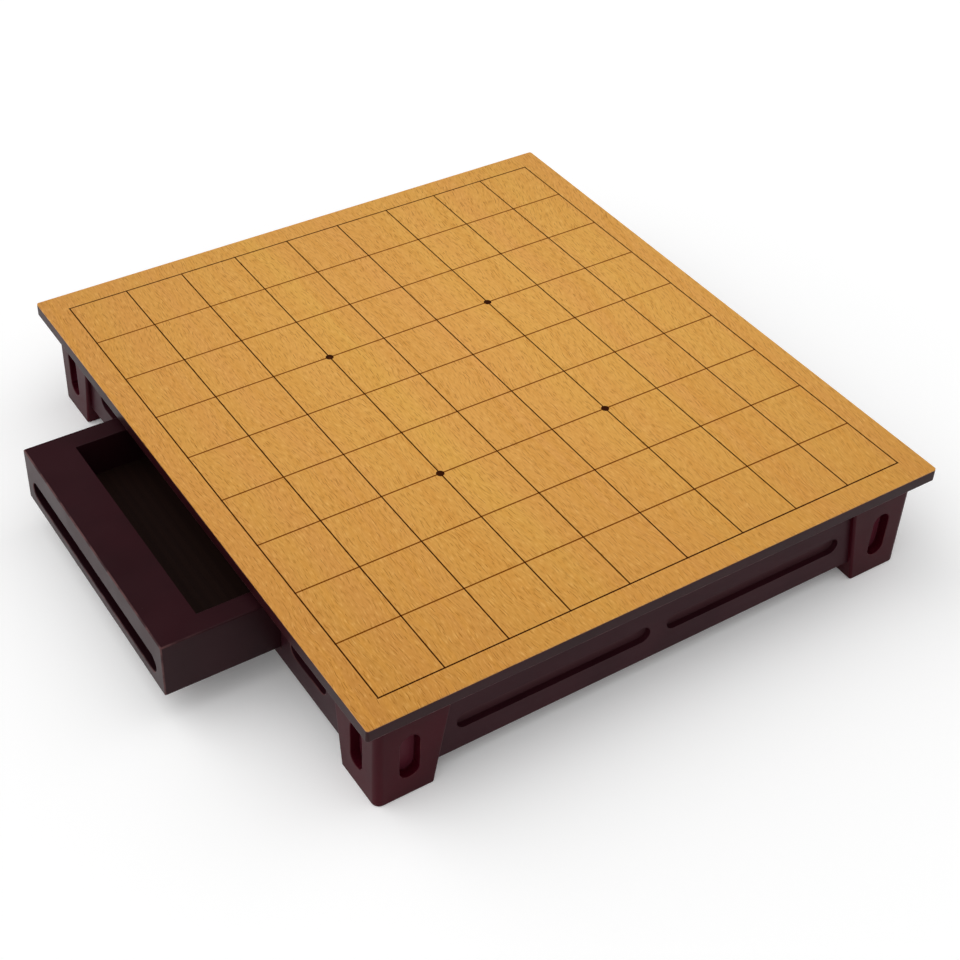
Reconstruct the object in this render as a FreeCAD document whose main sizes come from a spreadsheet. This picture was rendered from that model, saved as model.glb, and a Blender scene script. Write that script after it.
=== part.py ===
# Shogi board with a drawer
#
# A ruled wooden playing face lies on a lacquered top panel. The panel rests on
# four block legs joined by four rails. One drawer slides in a window of the
# left rail. Millimetres. The origin is the middle of the playing face, X runs
# to the right along the front edge, Y to the back and Z up.

import FreeCAD
import Part
import Sketcher
import math
import os

# Driving dimensions in millimetres
SIZES = {
    # Playing face
    "cell_width": 33.0,
    "cell_length": 36.0,
    "border": 13.5,
    "line_width": 0.9,
    "line_depth": 0.25,
    "star_radius": 2.1,
    "veneer_thickness": 0.6,
    "veneer_inset": 0.1,
    # Top panel
    "panel_thickness": 6.6,
    "panel_corner_radius": 1.4,
    "panel_arris": 0.6,
    # Legs
    "side_overhang": 7.8,
    "end_overhang": 5.6,
    "leg_top_width": 39.0,
    "leg_foot_width": 30.3,
    "leg_corner_radius": 4.0,
    "leg_arris": 2.2,
    "leg_foot_arris": 0.8,
    "leg_recess_radius": 5.1,
    "leg_recess_inset": 17.1,
    "leg_recess_lift": 11.6,
    "leg_recess_top_gap": 15.8,
    "leg_recess_depth": 5.2,
    # Rails
    "foot_clearance": 10.8,
    "rail_setback": 2.8,
    "rail_thickness": 12.0,
    "rail_arris": 0.6,
    "recess_radius": 4.8,
    "recess_lift": 17.8,
    "recess_depth": 3.3,
    "recess_arris": 0.4,
    "recess_end_gap": 7.8,
    "recess_middle_gap": 9.8,
    # Drawer window in the left rail
    "window_top_strip": 4.7,
    "window_foot_strip": 7.1,
    "short_recess_length": 32.7,
    "short_recess_window_gap": 9.3,
    "short_recess_leg_gap": 13.4,
    # Drawer
    "drawer_height": 30.6,
    "drawer_front_thickness": 22.9,
    "drawer_side_thickness": 11.6,
    "drawer_back_thickness": 12.0,
    "drawer_back_rise": 3.2,
    "drawer_bottom_thickness": 4.0,
    "drawer_bottom_lift": 4.8,
    "drawer_bottom_tongue": 3.7,
    "drawer_arris": 0.8,
    "grip_radius": 5.4,
    "grip_end_gap": 7.5,
    "grip_lift": 6.0,
    "grip_depth": 6.0,
    "drawer_opening": 58.4,
    # Drawer clearances
    "drawer_top_gap": 0.5,
    "drawer_side_gap": 0.7,
    "drawer_under_gap": 0.3,
    "drawer_stop_gap": 0.5,
    "groove_height_gap": 0.1,
    "groove_end_gap": 0.3,
    # Runners, batten and cleats
    "runner_ledge": 10.0,
    "runner_wall": 12.0,
    "runner_height": 31.0,
    "batten_thickness": 12.0,
    "cleat_width": 12.0,
    "cleat_height": 10.0,
    "cleat_leg_gap": 1.5,
    # Dowels
    "dowel_radius": 3.0,
    "dowel_length": 20.0,
    "dowel_fit": 0.05,
    "dowel_end_gap": 0.5,
    "dowel_cover": 4.0,
    "dowel_recess_gap": 4.0,
    # Screws
    "screw_radius": 1.5,
    "screw_head_radius": 3.0,
    "screw_head_height": 2.0,
    "screw_fit": 0.05,
    "screw_tip_gap": 0.5,
    "screw_cover": 2.6,
    "screw_end_gap": 18.0,
    # Overrun of a cut past the face it starts from
    "cut_overrun": 1.0,
}

# Squares along each side of the playing field, and from its edge to a star
SQUARES = 9
STAR_SQUARES = 3

# Where the two dowels of a drawer corner sit, as shares of the wall above the groove
DRAWER_DOWEL_SHARES = (0.25, 0.75)

# Two box edges agree when they differ by less than this share of a dowel's fit
MATCH_SHARE = 0.1

RIGHT = FreeCAD.Vector(1, 0, 0)
BACK = FreeCAD.Vector(0, 1, 0)
UP = FreeCAD.Vector(0, 0, 1)
LEFT = RIGHT.negative()
FRONT = BACK.negative()
DOWN = UP.negative()

PARTS_FOLDER = "parts"


class Size:
    """A length: its value, and the expression on the sheet that gives it."""

    def __init__(self, value, text):
        self.value = value
        self.text = text

    def __add__(self, other):
        return Size(self.value + other.value, f"({self.text} + {other.text})")

    def __sub__(self, other):
        return Size(self.value - other.value, f"({self.text} - {other.text})")

    def __neg__(self):
        return Size(-self.value, f"(-{self.text})")

    def __mul__(self, factor):
        return Size(self.value * factor, f"({self.text} * {factor})")

    def __truediv__(self, factor):
        return Size(self.value / factor, f"({self.text} / {factor})")

    def along(self, rise, run):
        """This size times the slope that a rise over a run gives."""
        value = self.value * rise.value / run.value
        return Size(value, f"({self.text} * {rise.text} / {run.text})")


class Sizes:
    """The driving dimensions, each an attribute."""

    def __init__(self, sheet, values):
        for row, (name, value) in enumerate(values.items(), start=1):
            sheet.set(f"A{row}", name)
            sheet.set(f"B{row}", str(value))
            sheet.setAlias(f"B{row}", name)
            setattr(self, name, Size(value, f"sizes.{name}"))


doc = FreeCAD.newDocument("shogi_board")
s = Sizes(doc.addObject("Spreadsheet::Sheet", "sizes"), SIZES)
doc.recompute()

ZERO = Size(0, "0")

# Playing field and panel
half_line = s.line_width / 2
field_x = s.cell_width * SQUARES / 2
field_y = s.cell_length * SQUARES / 2
panel_x = field_x + s.border
panel_y = field_y + s.border
panel_foot = s.veneer_thickness + s.panel_thickness

# Drawer and window heights, measured down from the top of the rails
drawer_drop = s.window_top_strip + s.drawer_top_gap
window_foot_drop = drawer_drop + s.drawer_height + s.drawer_under_gap
rail_height = window_foot_drop + s.window_foot_strip
recess_drop = rail_height - s.recess_lift

# Legs
leg_height = rail_height + s.foot_clearance
leg_taper = s.leg_top_width - s.leg_foot_width
leg_x = panel_x - s.side_overhang
leg_y = panel_y - s.end_overhang


def leg_width(drop):
    """The width of a leg at a drop below its top."""
    return s.leg_top_width - drop.along(leg_taper, leg_height)


# Rails: outer face, middle and inner face
rail_x = leg_x - s.rail_setback
rail_y = leg_y - s.rail_setback
rail_middle_x = rail_x - s.rail_thickness / 2
rail_middle_y = rail_y - s.rail_thickness / 2
rail_inner_x = rail_x - s.rail_thickness
rail_inner_y = rail_y - s.rail_thickness

# Window and drawer across the board
short_recess_outer = leg_y - leg_width(recess_drop) - s.short_recess_leg_gap
short_recess_inner = short_recess_outer - s.short_recess_length
window_y = short_recess_inner - s.short_recess_window_gap
drawer_y = window_y - s.drawer_side_gap
cavity_y = drawer_y - s.drawer_side_thickness
drawer_side_middle = drawer_y - s.drawer_side_thickness / 2

# Drawer along its travel, drawn out by its opening
half_batten = s.batten_thickness / 2
drawer_length = rail_x - half_batten - s.drawer_stop_gap
side_length = drawer_length - s.drawer_front_thickness - s.drawer_back_thickness
drawer_front_x = -(rail_x + s.drawer_opening)
drawer_side_x = drawer_front_x + s.drawer_front_thickness
drawer_back_x = drawer_side_x + side_length
drawer_foot = panel_foot + drawer_drop + s.drawer_height
groove_depth = s.drawer_bottom_tongue + s.groove_end_gap
groove_height = s.drawer_bottom_thickness + s.groove_height_gap
groove_top = s.drawer_bottom_lift + groove_height

# Cleats under the panel
cleat_end = leg_x - s.leg_top_width - s.cleat_leg_gap
cleat_length = cleat_end - half_batten
screw_length = s.cleat_height + s.panel_thickness - s.screw_cover

# Dowels above and below the rails' recesses
dowel_recess_offset = s.recess_radius + s.dowel_recess_gap + s.dowel_radius
dowel_drops = (recess_drop - dowel_recess_offset, recess_drop + dowel_recess_offset)


def vector(x, y):
    return FreeCAD.Vector(x.value, y.value, 0)


def origin_plane(body, role):
    """The body's own origin plane or axis with this role."""
    return next(feature for feature in body.Origin.OriginFeatures if feature.Role == role)


def new_sketch(body, name, role, offset=ZERO):
    """A sketch on one of the body's origin planes, moved along its normal."""
    sketch = body.newObject("Sketcher::SketchObject", name)
    sketch.AttachmentSupport = [(origin_plane(body, role), "")]
    sketch.MapMode = "FlatFace"
    sketch.setExpression("AttachmentOffset.Base.z", offset.text)
    return sketch


def bind(sketch, size, kind, *places):
    """Add a dimension to the sketch and bind it to a size."""
    index = sketch.addConstraint(Sketcher.Constraint(kind, *places, size.value))
    sketch.setExpression(f"Constraints[{index}]", size.text)


def bind_point(sketch, geometry, end, x, y):
    """Bind a sketch point to its place from the sketch's origin."""
    bind(sketch, x, "DistanceX", -1, 1, geometry, end)
    bind(sketch, y, "DistanceY", -1, 1, geometry, end)


def draw_outline(sketch, corners):
    """A closed outline of straight lines through the corners."""
    first = sketch.GeometryCount
    following = corners[1:] + corners[:1]
    for start, end in zip(corners, following):
        sketch.addGeometry(Part.LineSegment(vector(*start), vector(*end)), False)
    for index, corner in enumerate(corners):
        after = first + (index + 1) % len(corners)
        sketch.addConstraint(Sketcher.Constraint("Coincident", first + index, 2, after, 1))
        bind_point(sketch, first + index, 1, *corner)


def draw_rectangle(sketch, left, low, right, high):
    draw_outline(sketch, [(left, low), (right, low), (right, high), (left, high)])


def draw_circle(sketch, x, y, radius):
    circle = sketch.addGeometry(Part.Circle(vector(x, y), UP, radius.value), False)
    bind_point(sketch, circle, 3, x, y)
    bind(sketch, radius, "Radius", circle)


def draw_pill(sketch, first, second, radius):
    """A slot with round ends about two centres, the second to the right or above."""
    upright = first[0].value == second[0].value
    turn = math.pi / 2 if upright else 0
    aside = (-radius, ZERO) if upright else (ZERO, radius)
    start = vector(*first)
    end = vector(*second)
    shift = vector(*aside)
    start_circle = Part.Circle(start, UP, radius.value)
    end_circle = Part.Circle(end, UP, radius.value)
    outline = [
        Part.ArcOfCircle(start_circle, turn + math.pi / 2, turn + math.pi * 3 / 2),
        Part.LineSegment(start - shift, end - shift),
        Part.ArcOfCircle(end_circle, turn - math.pi / 2, turn + math.pi / 2),
        Part.LineSegment(end + shift, start + shift),
    ]
    near, low, far, high = [sketch.addGeometry(piece, False) for piece in outline]
    for piece, after in ((near, low), (low, far), (far, high), (high, near)):
        sketch.addConstraint(Sketcher.Constraint("Tangent", piece, 2, after, 1))
    sketch.addConstraint(Sketcher.Constraint("Equal", near, far))
    bind_point(sketch, near, 3, *first)
    bind_point(sketch, far, 3, *second)
    bind(sketch, radius, "Radius", near)


def extrude(kind, body, sketch, length, direction):
    """Pad or pocket a sketch along a direction and check that the volume follows."""
    before = body.Shape.Volume if body.Tip else 0
    doc.recompute()
    feature = body.newObject(f"PartDesign::{kind}", f"{sketch.Name}_{kind.lower()}")
    feature.Profile = sketch
    feature.setExpression("Length", length.text)
    normal = sketch.Placement.Rotation.multVec(UP)
    adds = kind == "Pad"
    feature.Reversed = (normal.dot(direction) > 0) != adds
    doc.recompute()
    if (body.Shape.Volume > before) != adds:
        raise RuntimeError(f"{feature.Name} runs the wrong way")
    return feature


def pad(body, sketch, length, direction):
    return extrude("Pad", body, sketch, length, direction)


def pocket(body, sketch, length, direction):
    return extrude("Pocket", body, sketch, length, direction)


def repeat(body, feature, axis, length, count):
    """Repeat a feature in a row along one of the body's origin axes."""
    row = body.newObject("PartDesign::LinearPattern", f"{feature.Name}_row")
    row.Originals = [feature]
    row.Direction = (origin_plane(body, axis), [""])
    row.setExpression("Length", length.text)
    row.Occurrences = count
    body.Tip = row
    doc.recompute()


def soften(body, radius, test):
    """Round the edges of the body that pass the test."""
    base = body.Tip
    edges = [f"Edge{index}" for index, edge in enumerate(base.Shape.Edges, start=1) if test(edge)]
    rounding = body.newObject("PartDesign::Fillet", f"{body.Name}_rounding")
    rounding.Base = (base, edges)
    rounding.setExpression("Radius", radius.text)
    doc.recompute()


def inside(edge, x=None, y=None, z=None):
    """Whether the edge lies between the low and high sizes given for each axis."""
    slack = s.dowel_fit.value * MATCH_SHARE
    box = edge.BoundBox
    spans = ((x, box.XMin, box.XMax), (y, box.YMin, box.YMax), (z, box.ZMin, box.ZMax))
    return all(
        limits is None or (low > limits[0].value - slack and high < limits[1].value + slack)
        for limits, low, high in spans
    )


def level(size):
    """Limits that keep an edge in one plane."""
    return (size, size)


def place(piece, x=ZERO, y=ZERO, z=ZERO):
    """Bind the place of a piece to sizes."""
    piece.setExpression("Placement.Base.x", x.text)
    piece.setExpression("Placement.Base.y", y.text)
    piece.setExpression("Placement.Base.z", z.text)


def new_box(name, length, width, height, x, y, z):
    box = doc.addObject("Part::Box", name)
    box.setExpression("Length", length.text)
    box.setExpression("Width", width.text)
    box.setExpression("Height", height.text)
    place(box, x, y, z)
    return box


def new_peg(name, direction, centre, radius, length):
    """A round peg centred on a point, its axis along a direction."""
    cylinder = doc.addObject("Part::Cylinder", name)
    cylinder.setExpression("Radius", radius.text)
    cylinder.setExpression("Height", length.text)
    cylinder.Placement.Rotation = FreeCAD.Rotation(UP, direction)
    steps = (direction.x, direction.y, direction.z)
    place(cylinder, *[middle - length / 2 * step for middle, step in zip(centre, steps)])
    return cylinder


def mirror(source, name, normal):
    """The source mirrored across the board's middle."""
    copy = doc.addObject("Part::Mirroring", name)
    copy.Source = source
    copy.Normal = normal
    return copy


def cut(source, tool):
    """The source with the tool's shapes taken out of it."""
    result = doc.addObject("Part::Cut", f"{source.Name}_bored")
    result.Base = source
    result.Tool = tool
    return result


def gather(members, name):
    group = doc.addObject("Part::Compound", name)
    group.Links = members
    return group


def rule_field(body, name, extrude_lines):
    """The lines and star dots of the playing field, padded or cut downwards."""
    frame = new_sketch(body, f"{name}_frame", "XY_Plane")
    outer_x = field_x + half_line
    outer_y = field_y + half_line
    inner_x = field_x - half_line
    inner_y = field_y - half_line
    draw_rectangle(frame, -outer_x, -outer_y, outer_x, outer_y)
    draw_rectangle(frame, -inner_x, -inner_y, inner_x, inner_y)
    extrude_lines(body, frame, s.line_depth, DOWN)

    column = new_sketch(body, f"{name}_column", "XY_Plane")
    column_x = s.cell_width - field_x
    draw_rectangle(column, column_x - half_line, -field_y, column_x + half_line, field_y)
    first_column = extrude_lines(body, column, s.line_depth, DOWN)
    repeat(body, first_column, "X_Axis", s.cell_width * (SQUARES - 2), SQUARES - 1)

    row = new_sketch(body, f"{name}_row", "XY_Plane")
    row_y = s.cell_length - field_y
    draw_rectangle(row, -field_x, row_y - half_line, field_x, row_y + half_line)
    first_row = extrude_lines(body, row, s.line_depth, DOWN)
    repeat(body, first_row, "Y_Axis", s.cell_length * (SQUARES - 2), SQUARES - 1)

    stars = new_sketch(body, f"{name}_stars", "XY_Plane")
    star_x = field_x - s.cell_width * STAR_SQUARES
    star_y = field_y - s.cell_length * STAR_SQUARES
    for x in (-star_x, star_x):
        for y in (-star_y, star_y):
            draw_circle(stars, x, y, s.star_radius)
    extrude_lines(body, stars, s.line_depth, DOWN)


def make_sheet(name, half_x, half_y, thickness, corner_radius):
    """A flat sheet with rounded corners, its top at the body's origin."""
    body = doc.addObject("PartDesign::Body", name)
    outline = new_sketch(body, f"{name}_outline", "XY_Plane")
    draw_rectangle(outline, -half_x, -half_y, half_x, half_y)
    pad(body, outline, thickness, DOWN)
    soften(body, corner_radius, lambda edge: edge.BoundBox.ZLength > s.veneer_inset.value)
    return body


def make_veneer():
    """The playing face, grooved for its lines."""
    half_x = panel_x - s.veneer_inset
    half_y = panel_y - s.veneer_inset
    corner_radius = s.panel_corner_radius - s.veneer_inset
    body = make_sheet("veneer", half_x, half_y, s.veneer_thickness, corner_radius)
    rule_field(body, "groove", pocket)
    return body


def make_lines():
    """The dark lattice that fills the grooves flush."""
    body = doc.addObject("PartDesign::Body", "lines")
    rule_field(body, "line", pad)
    return body


def make_panel():
    """The top panel, its lower edge softened."""
    body = make_sheet("panel", panel_x, panel_y, s.panel_thickness, s.panel_corner_radius)
    soften(body, s.panel_arris, lambda edge: inside(edge, z=level(-s.panel_thickness)))
    place(body, z=-s.veneer_thickness)
    return body


def make_leg():
    """The front left leg: a block with slanted inner faces and a recess in each outer face."""
    body = doc.addObject("PartDesign::Body", "leg")
    block = new_sketch(body, "leg_block", "XY_Plane")
    draw_rectangle(block, ZERO, ZERO, s.leg_top_width, s.leg_top_width)
    pad(body, block, leg_height, UP)

    overrun = s.cut_overrun
    spread = overrun.along(leg_taper, leg_height)
    low = s.leg_foot_width - spread
    high = s.leg_top_width + spread
    recess_ends = (
        (s.leg_recess_inset, s.leg_recess_lift + s.leg_recess_radius),
        (s.leg_recess_inset, leg_height - s.leg_recess_top_gap - s.leg_recess_radius),
    )
    faces = (("front", "XZ_Plane", BACK), ("side", "YZ_Plane", RIGHT))
    for face, plane, inward in faces:
        slant = new_sketch(body, f"leg_{face}_slant", plane)
        draw_outline(slant, [(low, -overrun), (high, -overrun), (high, leg_height + overrun)])
        pocket(body, slant, s.leg_top_width + overrun, inward)

    corner = {"x": level(ZERO), "y": level(ZERO)}
    tall = s.foot_clearance.value
    soften(body, s.leg_arris, lambda edge: edge.BoundBox.ZLength > tall and not inside(edge, **corner))
    soften(body, s.leg_corner_radius, lambda edge: inside(edge, **corner))
    soften(body, s.leg_foot_arris, lambda edge: inside(edge, z=level(ZERO)))

    for face, plane, inward in faces:
        recess = new_sketch(body, f"leg_{face}_recess", plane)
        draw_pill(recess, *recess_ends, s.leg_recess_radius)
        pocket(body, recess, s.leg_recess_depth, inward)
    heights = (s.leg_recess_lift, leg_height - s.leg_recess_top_gap)
    soften(body, s.recess_arris, lambda edge: inside(edge, y=level(ZERO), z=heights))
    soften(body, s.recess_arris, lambda edge: inside(edge, x=level(ZERO), z=heights))
    place(body, -leg_x, -leg_y, -(panel_foot + leg_height))
    return body


def make_rail(name, plane, inward, leg_face):
    """A plain rail: its ends fit the slanted legs and its outer face is at the origin."""
    body = doc.addObject("PartDesign::Body", name)
    board = new_sketch(body, f"{name}_board", plane)
    top = leg_face - s.leg_top_width
    foot = leg_face - leg_width(rail_height)
    draw_outline(board, [(-foot, -rail_height), (foot, -rail_height), (top, ZERO), (-top, ZERO)])
    pad(body, board, s.rail_thickness, inward)
    thick = s.rail_thickness.value
    soften(body, s.rail_arris, lambda edge: edge.Length > thick and inside(edge, z=level(-rail_height)))
    return body


def cut_recesses(body, plane, inward, inner, outer):
    """A pill recess on each side of the rail's middle, with a softened rim."""
    recess = new_sketch(body, f"{body.Name}_recess", plane)
    for start, end in ((-outer, -inner), (inner, outer)):
        first = (start + s.recess_radius, -recess_drop)
        second = (end - s.recess_radius, -recess_drop)
        draw_pill(recess, first, second, s.recess_radius)
    pocket(body, recess, s.recess_depth, inward)
    heights = (-(recess_drop + s.recess_radius), s.recess_radius - recess_drop)
    across = "x" if plane == "YZ_Plane" else "y"
    soften(body, s.recess_arris, lambda edge: inside(edge, z=heights, **{across: level(ZERO)}))


def make_long_rail(name, plane, inward, leg_face, **where):
    """A rail with two long recesses, in its place."""
    body = make_rail(name, plane, inward, leg_face)
    outer = leg_face - leg_width(recess_drop) - s.recess_end_gap
    cut_recesses(body, plane, inward, s.recess_middle_gap / 2, outer)
    place(body, z=-panel_foot, **where)
    return body


def make_left_rail():
    """The left rail: one board with the drawer's window and a short recess each side."""
    body = make_rail("rail_left", "YZ_Plane", RIGHT, leg_y)
    window = new_sketch(body, "window", "YZ_Plane")
    draw_rectangle(window, -window_y, -window_foot_drop, window_y, -s.window_top_strip)
    pocket(body, window, s.rail_thickness, RIGHT)
    cut_recesses(body, "YZ_Plane", RIGHT, short_recess_inner, short_recess_outer)
    place(body, -rail_x, z=-panel_foot)
    return body


def make_batten():
    """The middle batten between the front and back rails."""
    foot = -(panel_foot + rail_height)
    length = rail_inner_y * 2
    return new_box("batten", s.batten_thickness, length, rail_height, -half_batten, -rail_inner_y, foot)


def make_runner():
    """The front runner: a ledge under the drawer's side and a wall that guides it."""
    body = doc.addObject("PartDesign::Body", "runner")
    section = new_sketch(body, "runner_section", "YZ_Plane")
    wall = window_y + s.runner_wall
    ledge = drawer_y - s.runner_ledge
    corners = [
        (-wall, ZERO),
        (-ledge, ZERO),
        (-ledge, s.window_foot_strip),
        (-window_y, s.window_foot_strip),
        (-window_y, s.runner_height),
        (-wall, s.runner_height),
    ]
    draw_outline(section, corners)
    pad(body, section, rail_inner_x - half_batten, RIGHT)
    place(body, -rail_inner_x, z=-(panel_foot + rail_height))
    return body


def make_cleat():
    """The front left cleat, under the panel and against the front rail."""
    foot = -(panel_foot + s.cleat_height)
    return new_box("cleat", cleat_length, s.cleat_width, s.cleat_height, -cleat_end, -rail_inner_y, foot)


def make_drawer_front():
    """The drawer's front block with its finger groove, and a groove for the bottom."""
    body = doc.addObject("PartDesign::Body", "front_block")
    block = new_sketch(body, "front_outline", "YZ_Plane")
    draw_rectangle(block, -drawer_y, ZERO, drawer_y, s.drawer_height)
    pad(body, block, s.drawer_front_thickness, RIGHT)
    back_face = level(s.drawer_front_thickness)
    soften(body, s.drawer_arris, lambda edge: not inside(edge, x=back_face))

    grip = new_sketch(body, "front_grip", "YZ_Plane")
    grip_y = drawer_y - s.grip_end_gap - s.grip_radius
    grip_z = s.grip_lift + s.grip_radius
    draw_pill(grip, (-grip_y, grip_z), (grip_y, grip_z), s.grip_radius)
    pocket(body, grip, s.grip_depth, RIGHT)
    heights = (s.grip_lift, grip_z + s.grip_radius)
    soften(body, s.recess_arris, lambda edge: inside(edge, x=level(ZERO), z=heights))

    cut_bottom_groove(body, s.drawer_front_thickness, LEFT)
    place(body, drawer_front_x, z=-drawer_foot)
    return body


def cut_bottom_groove(body, face, direction):
    """The groove across a front or back board that holds the drawer's bottom."""
    groove = new_sketch(body, f"{body.Name}_groove", "YZ_Plane", face)
    end = cavity_y + groove_depth
    draw_rectangle(groove, -end, s.drawer_bottom_lift, end, groove_top)
    pocket(body, groove, groove_depth, direction)


def make_drawer_side():
    """The drawer's front side wall, grooved inside for the bottom."""
    body = doc.addObject("PartDesign::Body", "side_wall")
    section = new_sketch(body, "side_section", "YZ_Plane")
    groove = -(cavity_y + groove_depth)
    corners = [
        (-drawer_y, ZERO),
        (-cavity_y, ZERO),
        (-cavity_y, s.drawer_bottom_lift),
        (groove, s.drawer_bottom_lift),
        (groove, groove_top),
        (-cavity_y, groove_top),
        (-cavity_y, s.drawer_height),
        (-drawer_y, s.drawer_height),
    ]
    draw_outline(section, corners)
    pad(body, section, side_length, RIGHT)
    long = s.drawer_height.value
    softened = (level(ZERO), level(s.drawer_height))
    soften(
        body,
        s.drawer_arris,
        lambda edge: edge.Length > long and any(inside(edge, z=height) for height in softened),
    )
    place(body, drawer_side_x, z=-drawer_foot)
    return body


def make_drawer_back():
    """The drawer's back board, taller than the sides so that it stops behind the rail."""
    body = doc.addObject("PartDesign::Body", "back_board")
    board = new_sketch(body, "back_outline", "YZ_Plane")
    draw_rectangle(board, -drawer_y, ZERO, drawer_y, s.drawer_height + s.drawer_back_rise)
    pad(body, board, s.drawer_back_thickness, RIGHT)
    cut_bottom_groove(body, ZERO, RIGHT)
    place(body, drawer_back_x, z=-drawer_foot)
    return body


def make_drawer_bottom():
    """The drawer's bottom sheet, held in the grooves."""
    length = side_length + s.drawer_bottom_tongue * 2
    half_width = cavity_y + s.drawer_bottom_tongue
    x = drawer_side_x - s.drawer_bottom_tongue
    z = s.drawer_bottom_lift - drawer_foot
    return new_box("bottom", length, half_width * 2, s.drawer_bottom_thickness, x, -half_width, z)


class Dowels:
    """A set of identical dowels with the holes that they sit in."""

    def __init__(self, name):
        self.name = name
        self.pegs = []
        self.holes = []

    def add(self, direction, x, y, z):
        centre = (x, y, z)
        bore_radius = s.dowel_radius + s.dowel_fit
        bore_length = s.dowel_length + s.dowel_end_gap * 2
        self.pegs.append(new_peg(self.name, direction, centre, s.dowel_radius, s.dowel_length))
        self.holes.append(new_peg(f"{self.name}_hole", direction, centre, bore_radius, bore_length))


def add_frame_dowels(dowels):
    """Two dowels in each joint of the legs, rails and batten, and one at each runner's ends."""
    half_dowel = s.dowel_length / 2
    rail_reach = rail_inner_y + s.rail_thickness - s.dowel_cover - half_dowel
    for drop in dowel_drops:
        z = -(panel_foot + drop)
        for side in (-1, 1):
            for end in (-1, 1):
                dowels.add(RIGHT, (leg_x - leg_width(drop)) * side, rail_middle_y * end, z)
                dowels.add(BACK, rail_middle_x * side, (leg_y - leg_width(drop)) * end, z)
            dowels.add(BACK, ZERO, rail_reach * side, z)
    runner_z = -(panel_foot + dowel_drops[-1])
    rail_joint = s.dowel_cover + half_dowel - rail_x
    batten_joint = half_batten - s.dowel_cover - half_dowel
    for side in (-1, 1):
        runner_y = (window_y + s.runner_wall / 2) * side
        dowels.add(RIGHT, rail_joint, runner_y, runner_z)
        dowels.add(RIGHT, batten_joint, runner_y, runner_z)


def add_drawer_dowels(dowels):
    """Two dowels in each corner of the drawer."""
    half_dowel = s.dowel_length / 2
    back_joint = drawer_back_x + s.drawer_back_thickness - s.dowel_cover - half_dowel
    for share in DRAWER_DOWEL_SHARES:
        z = (s.drawer_height - groove_top) * share + groove_top - drawer_foot
        for side in (-1, 1):
            for x in (drawer_side_x, back_joint):
                dowels.add(RIGHT, x, drawer_side_middle * side, z)


def make_screws():
    """The screws up through the cleats into the panel, and their holes."""
    screws = []
    holes = []
    y = rail_inner_y - s.cleat_width / 2
    cleat_foot = -(panel_foot + s.cleat_height)
    hole_length = screw_length + s.screw_tip_gap
    for x in (half_batten + s.screw_end_gap, cleat_end - s.screw_end_gap):
        for side in (-1, 1):
            for end in (-1, 1):
                across = (x * side, y * end)
                head_centre = (*across, cleat_foot - s.screw_head_height / 2)
                shank_centre = (*across, cleat_foot + screw_length / 2)
                hole_centre = (*across, cleat_foot + hole_length / 2)
                screw = doc.addObject("Part::Fuse", "screw")
                screw.Base = new_peg("head", UP, head_centre, s.screw_head_radius, s.screw_head_height)
                screw.Tool = new_peg("shank", UP, shank_centre, s.screw_radius, screw_length)
                screws.append(screw)
                holes.append(new_peg("screw_hole", UP, hole_centre, s.screw_radius + s.screw_fit, hole_length))
    return screws, holes


def make_frame():
    """The board without its drawer: every piece under its node name."""
    dowels = Dowels("frame_dowel")
    add_frame_dowels(dowels)
    screws, screw_holes = make_screws()
    dowel_holes = gather(dowels.holes, "frame_holes")
    panel_holes = gather(screw_holes, "panel_holes")

    left_leg = make_leg()
    right_leg = mirror(left_leg, "leg_right", RIGHT)
    runner = make_runner()
    pieces = {
        "leg_front_left": left_leg,
        "leg_front_right": right_leg,
        "leg_back_left": mirror(left_leg, "leg_back", BACK),
        "leg_back_right": mirror(right_leg, "leg_right_back", BACK),
        "front_rail": make_long_rail("rail_front", "XZ_Plane", BACK, leg_x, y=-rail_y),
        "back_rail": make_long_rail("rail_back", "XZ_Plane", FRONT, leg_x, y=rail_y),
        "left_rail": make_left_rail(),
        "right_rail": make_long_rail("rail_right", "YZ_Plane", LEFT, leg_y, x=rail_x),
        "centre_batten": make_batten(),
        "runner_front": runner,
        "runner_back": mirror(runner, "runner_other", BACK),
    }
    frame = {name: cut(piece, dowel_holes) for name, piece in pieces.items()}

    left_cleat = make_cleat()
    right_cleat = mirror(left_cleat, "cleat_right", RIGHT)
    screwed = {
        "top_panel": make_panel(),
        "cleat_front_left": left_cleat,
        "cleat_front_right": right_cleat,
        "cleat_back_left": mirror(left_cleat, "cleat_back", BACK),
        "cleat_back_right": mirror(right_cleat, "cleat_right_back", BACK),
    }
    frame.update({name: cut(piece, panel_holes) for name, piece in screwed.items()})

    frame["playing_veneer"] = make_veneer()
    frame["grid_lines"] = make_lines()
    frame["frame_dowels"] = gather(dowels.pegs, "frame_dowel_set")
    frame["panel_screws"] = gather(screws, "screw_set")
    return frame


def make_drawer():
    """The drawer: every piece under its node name."""
    dowels = Dowels("drawer_dowel")
    add_drawer_dowels(dowels)
    holes = gather(dowels.holes, "drawer_holes")
    side = make_drawer_side()
    pieces = {
        "drawer_front": make_drawer_front(),
        "drawer_side_front": side,
        "drawer_side_back": mirror(side, "side_wall_back", BACK),
        "drawer_back": make_drawer_back(),
    }
    drawer = {name: cut(piece, holes) for name, piece in pieces.items()}
    drawer["drawer_bottom"] = make_drawer_bottom()
    drawer["drawer_dowels"] = gather(dowels.pegs, "drawer_dowel_set")
    return drawer


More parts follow.
